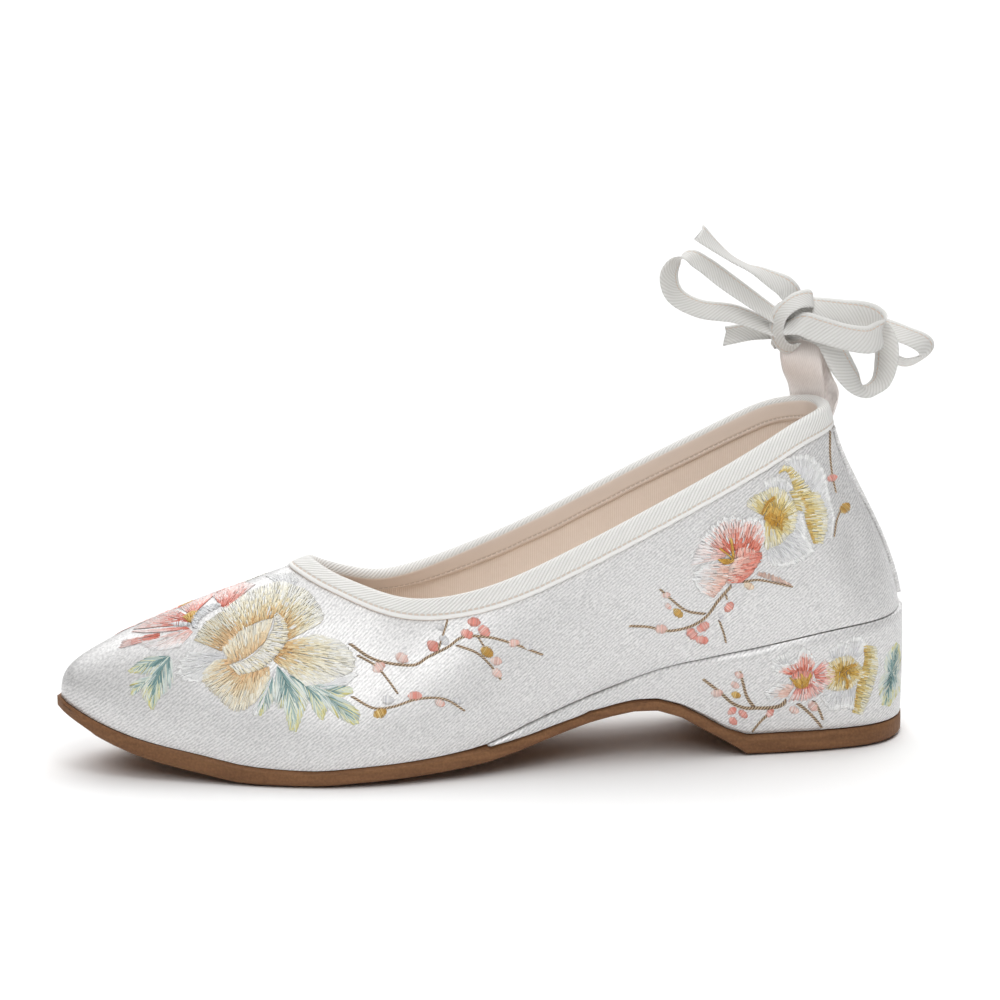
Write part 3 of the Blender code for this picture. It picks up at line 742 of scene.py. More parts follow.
def bindingSection(k):
    # The tape's outline at one place of the collar: outer leg, roll, inner leg and hidden side
    step = binding["depth"] / binding["legSteps"]
    ahead = ringAhead(rimOuter, k)
    outer = walkDown(upperSkin, rimOuter[k], ahead, step, binding["legSteps"], 1)
    inner = walkDown(upperInside, rimInner[k], ahead, step, binding["legSteps"], -1)
    section = []
    for i, (spot, normal) in enumerate(reversed(outer)):
        fromHem = (i * step - binding["hemAt"]) / binding["hemSpread"]
        dent = binding["hemDent"] * math.exp(-fromHem ** 2)
        section.append(spot + normal * (tapeLift(i * step) - dent))
    top = (rimOuter[k] + rimInner[k]) / 2
    across = rimOuter[k] - rimInner[k]
    rise = ahead.cross(across).normalized()
    if rise.z < 0:
        rise = -rise
    half = across.normalized() * (across.length / 2 + binding["gap"] + binding["thick"])
    for j in range(1, binding["rollSteps"]):
        turn = math.pi * j / binding["rollSteps"]
        section.append(top + half * math.cos(turn) + rise * binding["roll"] * math.sin(turn))
    for i, (spot, normal) in enumerate(inner):
        section.append(spot + normal * tapeLift(binding["depth"] - i * step))
    hidden = [inner[-1], inner[len(inner) // 2], inner[0], outer[0], outer[len(outer) // 2], outer[-1]]
    section += [spot + normal * binding["under"] for spot, normal in hidden]
    return section


def tubeOfSections(name, sections, closed, finish, uvRows=None):
    # Skin over a row of equal outlines, with a UV map in millimetres along and across it
    size = len(sections[0])
    points = [p for section in sections for p in section]
    count = len(sections)
    faces = []
    for k in range(count if closed else count - 1):
        nextK = (k + 1) % count
        for i in range(size):
            j = (i + 1) % size
            faces.append((k * size + i, k * size + j, nextK * size + j, nextK * size + i))
    if not closed:
        faces.append(tuple(reversed(range(size))))
        faces.append(tuple((count - 1) * size + i for i in range(size)))
    piece = meshPiece(name, points, faces, finish)
    layer = piece.data.uv_layers.new(name="tape")
    along = [0.0]
    seen = size // 4                     # a point on the seen side, where the length is measured
    for low, high in zip(sections, sections[1:] + sections[:1]):
        along.append(along[-1] + (high[seen] - low[seen]).length / mm)
    across = uvRows or [0.0]
    if not uvRows:
        for a, b in zip(sections[0], sections[0][1:] + sections[0][:1]):
            across.append(across[-1] + (b - a).length / mm)
    corner = 0
    for face in piece.data.polygons:
        if face.loop_total != 4 or face.index >= len(faces) - (0 if closed else 2):
            corner += face.loop_total
            continue
        k, i = divmod(face.index, size)
        for dk, di in ((0, 0), (0, 1), (1, 1), (1, 0)):
            layer.data[corner].uv = (along[k + dk], across[i + di])
            corner += 1
    return piece


collarSections = [bindingSection(k) for k in range(binding["rings"])]
collar = tubeOfSections("collarTape", collarSections, True, bindingTape)
faceOutwards(collar)
dress(collar, "tape", "topline_binding")
print("collar bound", len(collar.data.polygons))


# Back strip in satin
strip = {
    "calm": 0.85,                # the slanting lines hardly show on it
    "hidden": 0.62 * mm,         # points closer to the upper belong to its hidden side
    "offWall": 0.02 * mm,
}
backStrip = copyOfNode("back_strip", "backStrip", satin)
refine(backStrip, levels=2, sharp=50, crease=0.55)
backStrip.data.vertices.foreach_set("co", pressIn(coordinates(backStrip)).ravel())
for vert in backStrip.data.vertices:
    spot, normal, _, far = upperSkin.find_nearest(vert.co)
    if far < strip["hidden"]:
        vert.co = spot + normal * strip["offWall"]
markCalm(backStrip, [strip["calm"]] * len(backStrip.data.vertices))
dress(backStrip, "satin", "back_strip")
print("back strip laid")


# Pull tab and ribbon
bow = {
    "base": (99.15 * mm, 1.05 * mm, 97.5 * mm),
    "turn": math.radians(-9.5),
    "width": 8 * mm, "tieWidth": 3.2 * mm, "tabWidth": 12 * mm, "bandWidth": 6.2 * mm,
    "thick": 0.9 * mm,
    "edgeShare": 0.25, "bodyShare": 0.6, "edgeCurl": 6,      # the section's thickness, from edge to middle
    "lanes": 10,                 # faces across the tape
    "lookAround": 0.02,          # part of a route's step either way, from which its direction is taken
    "upperHollow": 0.9, "upperBack": 0.5, "lowerSkew": 1.2,  # mm, how the two ends are cut
}
# Routes in millimetres from the back of the collar edge, in the bow's own plane:
# right, near (towards the camera), up, and which way the near edge lies (right, near, up)
tabRoute = [
    (-3.9, -12.6, -3.3, 8, 6, 0), (-4.5, -11.8, 1.5, 8, 5, 0), (-5.8, -9.0, 6.5, 9, 3, 0),
    (-6.5, -7.8, 11.0, 9, 2, 0), (-6.2, -9.0, 14.2, 9, 2, 0), (-5.4, -11.8, 14.9, 9, 2.5, 0),
    (-4.6, -14.4, 12.4, 9, 3.5, 0), (-3.2, -15.3, 8.6, 8, 5.5, 0), (-0.4, -13.4, 4.0, 5, 7, 0),
    (2.2, -9.2, -0.2, 2.5, 8, 0), (3.0, -5.0, -4.6, 1.5, 8, 0)]
tieRoute = [
    (-13.8, -10.0, 15.4, 1, 5, 2), (-13.4, -12.6, 12.9, 0, 5, 1), (-6.5, -11.8, 12.0, 0, 5, 0),
    (0.6, -9.4, 12.4, 0, 5, 0), (2.8, -8.4, 14.6, 0, 5, 0), (1.8, -8.8, 17.4, 0, 5, -1),
    (-4.8, -8.6, 18.8, 0, 5, -2)]
leftRoute = [
    (-12.6, -7.0, 22.0, -1.6, 7.2, -3.0),
    (-16.2, -7.0, 24.5, -2.0, 7.0, -3.0), (-28.0, -7.0, 33.0, -3.5, 6.5, -3.0),
    (-34.2, -7.0, 37.7, -3.5, 6.7, -2.4), (-38.8, -7.0, 40.2, -3.8, 6.6, -1.6),
    (-42.4, -7.0, 39.0, -4.6, 6.2, 0.0),
    (-44.5, -7.0, 34.5, -5.4, 5.9, 0.0), (-42.5, -7.0, 28.8, -4.5, 6.2, -2.0),
    (-35.5, -7.0, 25.0, -1.5, 6.8, -4.0), (-25.5, -7.0, 23.5, -0.5, 6.8, -4.2),
    (-16.4, -7.0, 20.0, -0.5, 7.2, -3.5), (-12.6, -7.2, 18.4, -0.5, 7.4, -3.2)]
frontRoute = [
    (-11.4, -2.4, 20.2, -1.2, 7.0, -2.6), (-6.6, -0.8, 21.4, -3.4, 4.6, -5.4),
    (-2.0, -0.8, 20.0, -3.2, 3.8, -6.3),
    (6.5, -1.0, 17.5, -2.7, 4.0, -6.3), (13.0, -2.6, 16.6, -1.3, 3.0, -7.3),
    (16.4, -6.6, 18.6, -0.9, 2.4, -7.2), (13.8, -10.6, 21.6, -2.4, 1.2, -7.2),
    (6.0, -11.5, 23.2, -0.9, 5.2, -6.0), (-1.5, -10.2, 24.6, -0.9, 6.4, -4.7),
    (-6.4, -9.6, 25.2, -0.9, 6.5, -4.5)]
hangingRoute = [
    (-6.0, -7.4, 19.0, -4.0, 5.0, -3.0), (0.4, -5.0, 16.6, -6.2, 4.2, -2.2),
    (2.7, -4.6, 13.4, -6.5, 3.8, -1.8),
    (4.8, -5.2, 9.4, -6.5, 4.0, -2.0), (8.6, -6.6, 3.8, -5.0, 6.0, -2.0),
    (12.6, -8.6, 0.7, -0.6, 7.8, -1.6), (16.8, -11.0, 2.5, 3.2, 7.0, -2.0),
    (18.6, -13.2, 7.7, 6.0, 5.0, 0.0), (18.4, -14.8, 14.0, 6.0, 4.6, 1.0),
    (14.6, -17.4, 19.6, 4.0, 6.5, -1.5), (7.0, -18.6, 21.8, 0.5, 6.5, -4.0),
    (0.0, -16.6, 23.0, 0.0, 6.5, -4.5), (-6.2, -12.4, 23.6, 0.0, 6.5, -4.3),
    (-9.6, -9.4, 22.6, 0.0, 6.5, -4.0)]
farRoute = [
    (-10.4, -9.8, 21.8, 0.0, 6.5, -4.0), (-6.6, -15.0, 22.4, 0.0, 6.5, -4.5),
    (-0.5, -21.4, 21.6, -0.5, 6.5, -4.4),
    (9.0, -25.0, 19.4, -1.5, 6.6, -4.3), (18.6, -23.6, 16.4, -2.2, 6.5, -4.2),
    (25.0, -21.6, 14.4, -3.1, 6.6, -3.4), (29.8, -21.6, 12.0, -4.2, 6.0, -2.8),
    (31.0, -22.8, 9.4, -4.6, 6.2, -1.0), (29.0, -24.4, 7.2, -3.0, 7.0, 1.8),
    (25.0, -25.6, 5.8, -1.2, 6.8, 3.8), (20.6, -26.2, 7.5, -1.0, 6.6, 4.0),
    (13.0, -26.0, 11.4, 0.0, 7.0, 1.0), (4.0, -23.4, 15.2, 0.0, 7.0, -3.0),
    (-3.0, -19.0, 17.6, 0.0, 6.8, -4.0), (-7.4, -14.6, 18.8, 0.0, 6.6, -4.4),
    (-10.6, -9.8, 19.8, 0.0, 6.5, -4.0)]
tailUpperRoute = [
    (-8.4, -8.8, 24.0, -2.2, 5.8, -4.2), (-8.8, -9.3, 27.8, -3.2, 5.4, -4.6),
    (-10.8, -9.5, 30.6, -3.8, 5.4, -4.2),
    (-14.0, -9.2, 32.6, -3.4, 6.4, -3.0),
    (-18.4, -9.0, 35.0, -2.8, 7.4, -1.2), (-22.0, -9.0, 36.7, -0.8, 8.0, -0.4),
    (-26.5, -9.5, 39.1, -0.7, 8.0, -0.6), (-30.6, -10.0, 42.2, -1.2, 7.7, -1.8),
    (-35.6, -10.0, 46.6, -2.8, 6.8, -3.2)]
tailLowerRoute = [
    (-12.0, -10.0, 18.0, -0.6, 7.4, -3.0), (-15.9, -11.2, 17.6, -0.8, 7.3, -3.2),
    (-21.0, -12.0, 17.4, -1.2, 6.9, -3.9),
    (-28.0, -12.0, 16.2, -2.0, 6.4, -4.3)]
bandRoute = [
    (-3.4, -9.6, 25.0, 0.0, 3.0, -3.6), (-3.6, -7.6, 27.6, 0.1, 3.6, -3.4),
    (-7.4, -4.8, 27.7, 0.8, 4.0, -2.9), (-10.7, -3.6, 26.0, 1.8, 4.0, -2.3),
    (-12.9, -3.2, 23.5, 2.7, 4.0, -1.2), (-13.7, -3.2, 20.6, 3.0, 4.0, 0.0),
    (-13.6, -3.4, 17.9, 2.8, 4.0, 0.9),
    (-12.5, -4.0, 15.5, 2.0, 4.0, 1.9), (-10.6, -5.2, 13.9, 1.0, 4.0, 2.6),
    (-8.2, -6.8, 13.4, 0.2, 4.0, 3.0)]


def bowDirection(right, near, up):
    side = Vector((math.cos(bow["turn"]), math.sin(bow["turn"]), 0))
    front = Vector((math.sin(bow["turn"]), -math.cos(bow["turn"]), 0))
    return side * right + front * near + Vector((0, 0, up))


def routeCurve(route):
    # A smooth curve through the rows of a route
    rows = np.array(route, float)
    slopes = np.gradient(rows, axis=0)

    def at(u):
        i = min(int(u), len(rows) - 2)
        t = u - i
        return (rows[i] * (2 * t**3 - 3 * t**2 + 1) + slopes[i] * (t**3 - 2 * t**2 + t)
                + rows[i + 1] * (3 * t**2 - 2 * t**3) + slopes[i + 1] * (t**3 - t**2))
    return at


def ribbon(name, route, width, steps, finish, cutEnd=None):
    # A flat tape of even width along its route; its section is a thin lens with soft edges
    curve = routeCurve(route)
    base = Vector(bow["base"])
    last = len(route) - 1
    lanes = bow["lanes"]
    sections = []
    middle = []
    for k in range(steps + 1):
        u = k * last / steps
        row = curve(u)
        spot = base + bowDirection(*row[:3]) * mm
        onward = curve(min(u + bow["lookAround"], last)) - curve(max(u - bow["lookAround"], 0))
        ahead = bowDirection(*onward[:3]).normalized()
        edge = bowDirection(*row[3:])
        edge = (edge - ahead * edge.dot(ahead)).normalized()
        face = ahead.cross(edge).normalized()
        section = []
        for turn, lane in [(1, i) for i in range(lanes + 1)] + [(-1, i) for i in range(lanes, -1, -1)]:
            share = 2 * lane / lanes - 1
            body = bow["bodyShare"] * (1 - abs(share) ** bow["edgeCurl"])
            thick = bow["thick"] / 2 * (bow["edgeShare"] + body)
            reach = cutEnd(share) * mm if cutEnd and k == steps else 0
            section.append(spot + edge * share * width / 2 + face * turn * thick + ahead * reach)
        sections.append(section)
        middle.append(spot)
    rows = [width / mm * i / lanes for i in range(lanes + 1)]
    piece = tubeOfSections(name, sections, False, finish, rows + rows[::-1] + [0.0])
    faceOutwards(piece)
    return piece, middle


def upperCut(share):
    # The upper end is cut in a shallow curve, in mm from a straight cut
    return bow["upperHollow"] * share * share - bow["upperBack"]


def lowerCut(share):
    # The lower end is cut askew
    return bow["lowerSkew"] * share


tab, _ = ribbon("pullTab", tabRoute, bow["tabWidth"], steps=90, finish=tabSatin)
dress(tab, "satin", "heel_loop")
ribbonRuns = [
    # name, node, route, width, steps along it, cut of its end
    ("ribbonTie", "bow_tie", tieRoute, bow["tieWidth"], 60, None),
    ("ribbonLoopLeft", "bow_loop_left", leftRoute, bow["width"], 110, None),
    ("ribbonLoopFront", "bow_loop_front", frontRoute, bow["width"], 110, None),
    ("ribbonLoopHanging", "bow_loop_hanging", hangingRoute, bow["width"], 140, None),
    ("ribbonLoopFar", "bow_loop_far", farRoute, bow["width"], 140, None),
    ("ribbonTailUpper", "bow_tail_upper", tailUpperRoute, bow["width"], 80, upperCut),
    ("ribbonTailLower", "bow_tail_lower", tailLowerRoute, bow["width"], 50, lowerCut),
]
runs = {}
for name, node, route, width, steps, cut in ribbonRuns:
    piece, middle = ribbon(name, route, width, steps, ribbonTape, cut)
    dress(piece, "tape", node)
    runs[name] = (piece, middle)


core = {
    "size": (10.5 * mm, 6.4 * mm, 12.5 * mm), "place": (-9.6, -8.6, 21.0),
    "lanes": 14, "turns": 48,            # faces across it and round it
    "broad": 0.05, "broadRate": 3.1, "broadTwist": 2.2,      # depth and run of its broad gathers
    "narrow": 0.03, "narrowRate": 9,                         # and of its narrow ones
    "pinch": 0.42, "pinchCurve": 2.6,    # how much slimmer its ends are, as a share, and how late
    "skew": 0.12,                        # how far it leans along its width, as a share
    "around": 36,                        # mm of tape round it
}


def wrapKnot():
    # The gathered tape inside the knot: a short barrel
    centre = Vector(bow["base"]) + bowDirection(*core["place"]) * mm
    wide, deep, tall = core["size"]
    lanes = core["lanes"]
    turns = core["turns"]
    points = []
    uvs = []
    for k in range(turns):
        angle = 2 * math.pi * k / turns
        for i in range(lanes + 1):
            share = 2 * i / lanes - 1
            twist = core["broadTwist"] * math.sin(angle)
            fold = 1 + core["broad"] * math.sin(core["broadRate"] * share + twist)
            fold += core["narrow"] * math.sin(core["narrowRate"] * share + angle)
            pinch = (1 - core["pinch"] * abs(share) ** core["pinchCurve"]) * fold
            across = share * wide / 2 + core["skew"] * wide * math.sin(angle) * (1 - abs(share))
            points.append(centre + bowDirection(
                across, deep / 2 * pinch * math.cos(angle), tall / 2 * pinch * math.sin(angle)))
            uvs.append((k / turns * core["around"], (share + 1) / 2 * bow["width"] / mm))
    faces = []
    row = lanes + 1
    for k in range(turns):
        n = (k + 1) % turns
        for i in range(lanes):
            faces.append((k * row + i, k * row + i + 1, n * row + i + 1, n * row + i))
    faces.append(tuple(k * row for k in range(turns)))
    faces.append(tuple(k * row + lanes for k in reversed(range(turns))))
    piece = meshPiece("ribbonKnot", points, faces, ribbonTape)
    layer = piece.data.uv_layers.new(name="tape")
    for face in piece.data.polygons:
        for corner in face.loop_indices:
            layer.data[corner].uv = uvs[piece.data.loops[corner].vertex_index]
    faceOutwards(piece)
    return piece


knot = wrapKnot()
dress(knot, "tape", "bow_knot")
band, _ = ribbon("ribbonBand", bandRoute, bow["bandWidth"], steps=80, finish=ribbonTape)
dress(band, "tape")
for name in ("ribbonLoopLeft", "ribbonLoopFront", "ribbonLoopHanging", "ribbonLoopFar"):
    piece, path = runs[name]
    round(pathLength(path), 3)
    print("ribbon", piece.name, round(pathLength(path) / mm, 1), "mm")


# Embroidery: each petal is filled with stitches between two edges, read on the photo in its pixels,
# and dropped along the camera's sight lines onto the cloth; the hidden side is given the same flowers
silks = {
    "rose": ["#D76A50", "#E27F69", "#EEA999", "#F6DED8", "#F6F4F3"],
    "coral": ["#DE735F", "#E78D7D", "#F0ADA2", "#F5D0C9", "#F6E8E5"],
    "blush": ["#F2BEB3", "#F6D6CF", "#F6EAE7", "#F5F3F3"],
    "peach": ["#F1C0AE", "#F4D6CA", "#F5EDEA", "#F4F3F3"],
    "tube": ["#F5E3DA", "#F1BDAF", "#E88B79"],
    "butter": ["#DDB074", "#EBD2A2", "#F1E7C8", "#F5F1E0", "#F6F5F0"],
    "honey": ["#E9C08F", "#EED5AC", "#F3E7CC", "#F6F2E4"],
    "amber": ["#EDCDA3", "#DAB584", "#E8DBBB", "#EAE8DC"],
    "cream": ["#F3EACF", "#F7F5EE", "#F7F5EF", "#F2E7C6"],
    "snow": ["#DCDCDE", "#E4E4E5", "#EEEEED"],
    "silver": ["#D6D9DD", "#E9EAEC", "#F5F5F5"],
    "rim": ["#F6F6F5", "#FBFBFA"],
    "sun": ["#CFA247", "#DBBF72", "#E8D9A0", "#F0E8C6", "#F3F0E2"],
    "gold": ["#B98728", "#D3A243", "#E7C672"],
    "leaf": ["#42696C", "#7FA3A2", "#E4ECE8", "#F0F1E2"],
    "lime": ["#7FA39E", "#E2E9DA", "#E6E3AC", "#DAD284"],
    "twig": ["#7A5C44", "#C9AC86", "#E2D1B4"],
    "ochre": ["#B98A28", "#D2AA4C", "#E6D298", "#F3EDD8"],
    "sepal": ["#C9A090", "#EAD3C6"],
    "pinkBud": ["#F7DED7", "#F0AFA2", "#E88F7F"],
    "paleBud": ["#F8EFEB", "#F4D9D0", "#E9B9AC"],
    "goldBud": ["#F0DDA4", "#D8AE5C", "#B98A38"],
    "whiteBud": ["#F7F6F5", "#EBEAEA", "#D6D6DA"],
    "creamBud": ["#F5F0DA", "#F0DFC8", "#E6BFA8"],
}
rimmed = ("rose", "peach", "snow")     # silks whose petals end in a raised white rim
toePetals = [
    # name, inner edge and outer edge in pixels of the photo, silk from the inner to the outer edge, layer
    ("white left", [(223, 654), (226, 663)], [(188, 652), (178, 668), (182, 679), (200, 682)], "snow", 0),
    ("white low", [(274, 673), (275, 668)], [(253, 710), (256, 716), (263, 703)], "snow", 0),
    ("white right", [(317, 689), (322, 690)], [(328, 681), (356, 674), (346, 685)], "snow", 0),
    ("white back", [(275, 582), (293, 587)], [(266, 576), (289, 572), (299, 580)], "snow", 0),
    ("pink lower", [(189, 628), (193, 632)], [(137, 643), (153, 651), (178, 648)], "blush", 0),
    ("pink strip", [(160, 633), (160, 638)], [(122, 641), (118, 649)], "coral", 1),
    ("pink left", [(187, 627), (190, 629)], [(131, 632), (143, 633), (160, 632)], "coral", 1),
    ("pink ridge", [(187, 616), (189, 624)], [(174, 609), (153, 618), (131, 630)], "coral", 1),
    ("white oval", [(172, 623), (181, 621), (190, 623)], [(171, 625), (180, 628), (190, 627)], "silver", 2),
    ("pink top", [(193, 616), (198, 610)], [(179, 608), (205, 595), (223, 587)], "coral", 1),
    ("pink back", [(221, 606), (226, 609)], [(212, 595), (240, 583), (256, 584)], "coral", 1),
    ("pink heart", [(189, 623), (193, 623)], [(182, 617), (191, 611), (198, 610)], "gold", 2),
    ("silver fold", [(192, 627), (191, 619), (196, 612), (204, 607), (214, 604)],
     [(198, 629), (199, 623), (204, 617), (212, 612), (223, 605)], "silver", 2),
    ("yellow left lobe", [(222, 651), (232, 643), (241, 631)], [(193, 640), (204, 623), (226, 608)],
     "amber", 1),
    ("yellow top lobe", [(238, 633), (258, 622), (274, 618)],
     [(221, 608), (249, 591), (275, 581), (290, 583)], "butter", 1),
    ("yellow back lobe", [(273, 615), (285, 625), (287, 641)],
     [(283, 580), (309, 591), (324, 613), (321, 623)], "butter", 1),
    ("yellow heart", [(230, 665), (249, 656), (265, 642)], [(221, 647), (239, 630), (261, 621), (274, 617)],
     "honey", 1),
    ("yellow right", [(273, 660), (280, 650), (287, 642)],
     [(307, 687), (333, 682), (355, 669), (355, 656), (342, 642), (318, 634)], "butter", 1),
    ("yellow lower", [(269, 666), (254, 671), (239, 673)], [(270, 680), (253, 705), (233, 711), (214, 695)],
     "honey", 1),
    ("yellow left", [(241, 674), (232, 666), (227, 659)], [(214, 695), (203, 684), (202, 673), (214, 661)],
     "honey", 1),
    ("curled petal", [(229, 665), (249, 658), (264, 643), (273, 628), (274, 616)],
     [(239, 676), (261, 670), (278, 656), (289, 639), (287, 623), (278, 613)], "cream", 3),
]
toeLeaves = [
    # midrib from stem to tip, one outline, other outline
    ([(170, 656), (148, 663), (128, 671)], [(158, 655), (142, 659), (128, 671)],
     [(167, 665), (151, 675), (132, 673)]),
    ([(170, 656), (158, 679), (153, 710)], [(153, 665), (149, 675), (140, 693), (151, 709)],
     [(177, 665), (170, 689), (160, 698), (153, 710)]),
    ([(153, 677), (142, 684), (131, 695)], [(144, 676), (130, 684), (131, 695)],
     [(146, 684), (139, 691), (133, 695)]),
    ([(277, 666), (288, 689), (295, 731)], [(274, 675), (275, 707), (284, 710), (289, 730)],
     [(291, 679), (309, 700), (303, 716), (296, 732)]),
    ([(273, 675), (265, 693), (258, 714)], [(267, 679), (258, 703), (256, 716)],
     [(275, 686), (274, 703), (261, 716)]),
    ([(289, 675), (310, 691), (321, 719)], [(292, 685), (307, 697), (313, 710), (320, 719)],
     [(308, 682), (323, 692), (328, 707), (323, 720)]),
    ([(310, 684), (332, 700), (356, 724)], [(317, 694), (337, 717), (354, 725)],
     [(322, 687), (358, 709), (359, 723)]),
    ([(309, 684), (330, 691), (352, 690)], [(318, 684), (346, 685), (353, 688)],
     [(317, 691), (335, 699), (353, 693)]),
]
sideBranches = [
    # points from stem to tip, width in pixels
    ([(349, 643), (369, 657), (388, 663), (414, 665), (428, 657), (448, 647), (463, 637),
      (487, 637), (511, 643), (543, 655)], 3.0),
    ([(456, 645), (477, 653), (491, 666), (501, 680)], 2.4),
    ([(438, 650), (442, 638), (447, 622), (447, 614)], 2.0),
    ([(357, 655), (376, 666), (388, 680), (398, 694)], 2.4),
    ([(351, 696), (373, 708), (392, 707), (418, 699), (444, 699), (465, 711)], 2.4),
    ([(478, 637), (485, 648)], 1.6),
]
sideBuds = [
    # column, row and radius in pixels, silk
    (433, 646, 6, "pinkBud"), (444, 640, 5, "whiteBud"), (440, 627, 4, "whiteBud"),
    (474, 622, 5.6, "pinkBud"), (484, 631, 6, "pinkBud"), (467, 634, 5.6, "pinkBud"),
    (487, 652, 6, "goldBud"), (380, 713, 6, "goldBud"), (402, 658, 6, "paleBud"),
    (379, 667, 6, "paleBud"), (514, 643, 5, "paleBud"), (496, 661, 5, "paleBud"),
    (497, 673, 5, "paleBud"), (440, 703, 4.5, "paleBud"), (528, 647, 4, "whiteBud"),
    (388, 700, 5.5, "whiteBud"), (457, 701, 3.5, "whiteBud"), (415, 696, 6, "pinkBud"),
]
quarterPetals = [
    ("white crown", [(795, 471), (805, 491), (819, 516), (822, 537)],
     [(784, 459), (798, 455), (813, 458), (824, 472), (829, 496), (834, 517), (832, 539)], "snow", 0),
    ("white top", [(770, 503), (782, 494), (790, 490)], [(762, 484), (773, 477), (785, 479), (793, 487)],
     "snow", 0),
    ("white lower", [(765, 551), (782, 543), (793, 530)], [(771, 566), (792, 565), (813, 552), (806, 537)],
     "snow", 0),
    ("white right", [(790, 516), (794, 525)], [(802, 513), (806, 528), (805, 540)], "snow", 0),
    ("star left", [(764, 516), (766, 512), (769, 509)], [(746, 506), (749, 498), (758, 493)], "sun", 1),
    ("star top", [(769, 509), (774, 507), (779, 509)], [(758, 493), (766, 489), (773, 485), (784, 489)],
     "sun", 1),
    ("star right", [(779, 509), (782, 513), (783, 519)], [(784, 489), (792, 498), (798, 508), (798, 519)],
     "sun", 1),
    ("star lower right", [(783, 519), (780, 524), (775, 526)], [(798, 519), (795, 530), (785, 541)],
     "sun", 1),
    ("star low", [(775, 526), (770, 523), (766, 518)], [(785, 541), (775, 547), (766, 550), (763, 536)],
     "sun", 1),
    ("star heart", [(763, 518), (770, 526), (781, 527)], [(768, 508), (776, 505), (785, 513)], "gold", 2),
    ("yellow bridge", [(789, 492), (793, 500), (796, 509)], [(801, 489), (806, 500), (808, 513)], "sun", 1),
    ("gold arch", [(778, 474), (785, 471), (790, 478), (793, 488), (797, 497)],
     [(782, 465), (791, 466), (800, 474), (808, 484), (812, 492)], "sun", 2),
    ("yellow right", [(797, 495), (803, 508), (806, 523), (813, 543)],
     [(819, 491), (828, 511), (828, 528), (823, 544)], "sun", 1),
    ("pink left", [(726, 557), (727, 552)], [(690, 566), (695, 552), (700, 541)], "blush", 1),
    ("pink upper", [(729, 556), (732, 552), (737, 548)], [(700, 540), (712, 526), (726, 517), (741, 516)],
     "rose", 2),
    ("pink right", [(734, 551), (745, 549), (758, 551)], [(740, 521), (752, 517), (763, 522), (765, 539)],
     "rose", 2),
    ("pink tube", [(733, 560), (728, 571), (727, 583)], [(759, 547), (763, 556), (756, 569), (743, 582)],
     "tube", 3),
    ("tube mouth", [(736, 549), (743, 546), (755, 549)], [(734, 559), (743, 560), (753, 560)], "tube", 3),
    ("peach lower", [(731, 562), (728, 580), (714, 598)], [(703, 565), (693, 577), (700, 592)], "peach", 1),
    ("sepal", [(756, 575), (773, 581), (792, 586)], [(759, 571), (775, 575), (787, 582)], "sepal", 1),
]
quarterStrokes = [
    # points of a gold thread, from the heart outwards
    [(762, 514), (768, 502), (775, 497)],
    [(770, 518), (780, 523), (781, 531)],
    [(733, 559), (726, 553), (719, 548)],
    [(733, 558), (732, 547), (730, 537)],
    [(731, 560), (724, 560), (718, 560)],
    [(734, 559), (727, 563), (721, 562)],
]
quarterBranches = [
    ([(732, 585), (726, 592), (718, 601), (706, 617), (689, 627), (667, 631), (649, 627), (629, 626)], 3.0),
    ([(706, 614), (687, 611), (672, 600), (660, 589)], 2.6),
    ([(742, 582), (758, 580), (775, 583), (793, 587)], 2.2),
    ([(726, 594), (727, 600)], 1.8),
    ([(719, 620), (724, 634), (726, 643)], 2.0),
    ([(830, 430), (830, 453), (832, 474), (836, 493)], 2.2),
    ([(842, 507), (837, 519), (835, 531), (834, 537)], 2.0),
]
quarterBuds = [
    (666, 595, 3.8, "paleBud"), (668, 606, 3.4, "paleBud"), (678, 613, 5, "goldBud"),
    (661, 629, 5.4, "paleBud"), (692, 634, 5.8, "pinkBud"), (703, 627, 5.8, "pinkBud"),
    (702, 640, 5.4, "pinkBud"), (729, 607, 5, "pinkBud"), (749, 586, 4.6, "creamBud"),
    (721, 616, 3, "whiteBud"), (832, 478, 4.6, "pinkBud"), (845, 508, 5.4, "goldBud"),
]
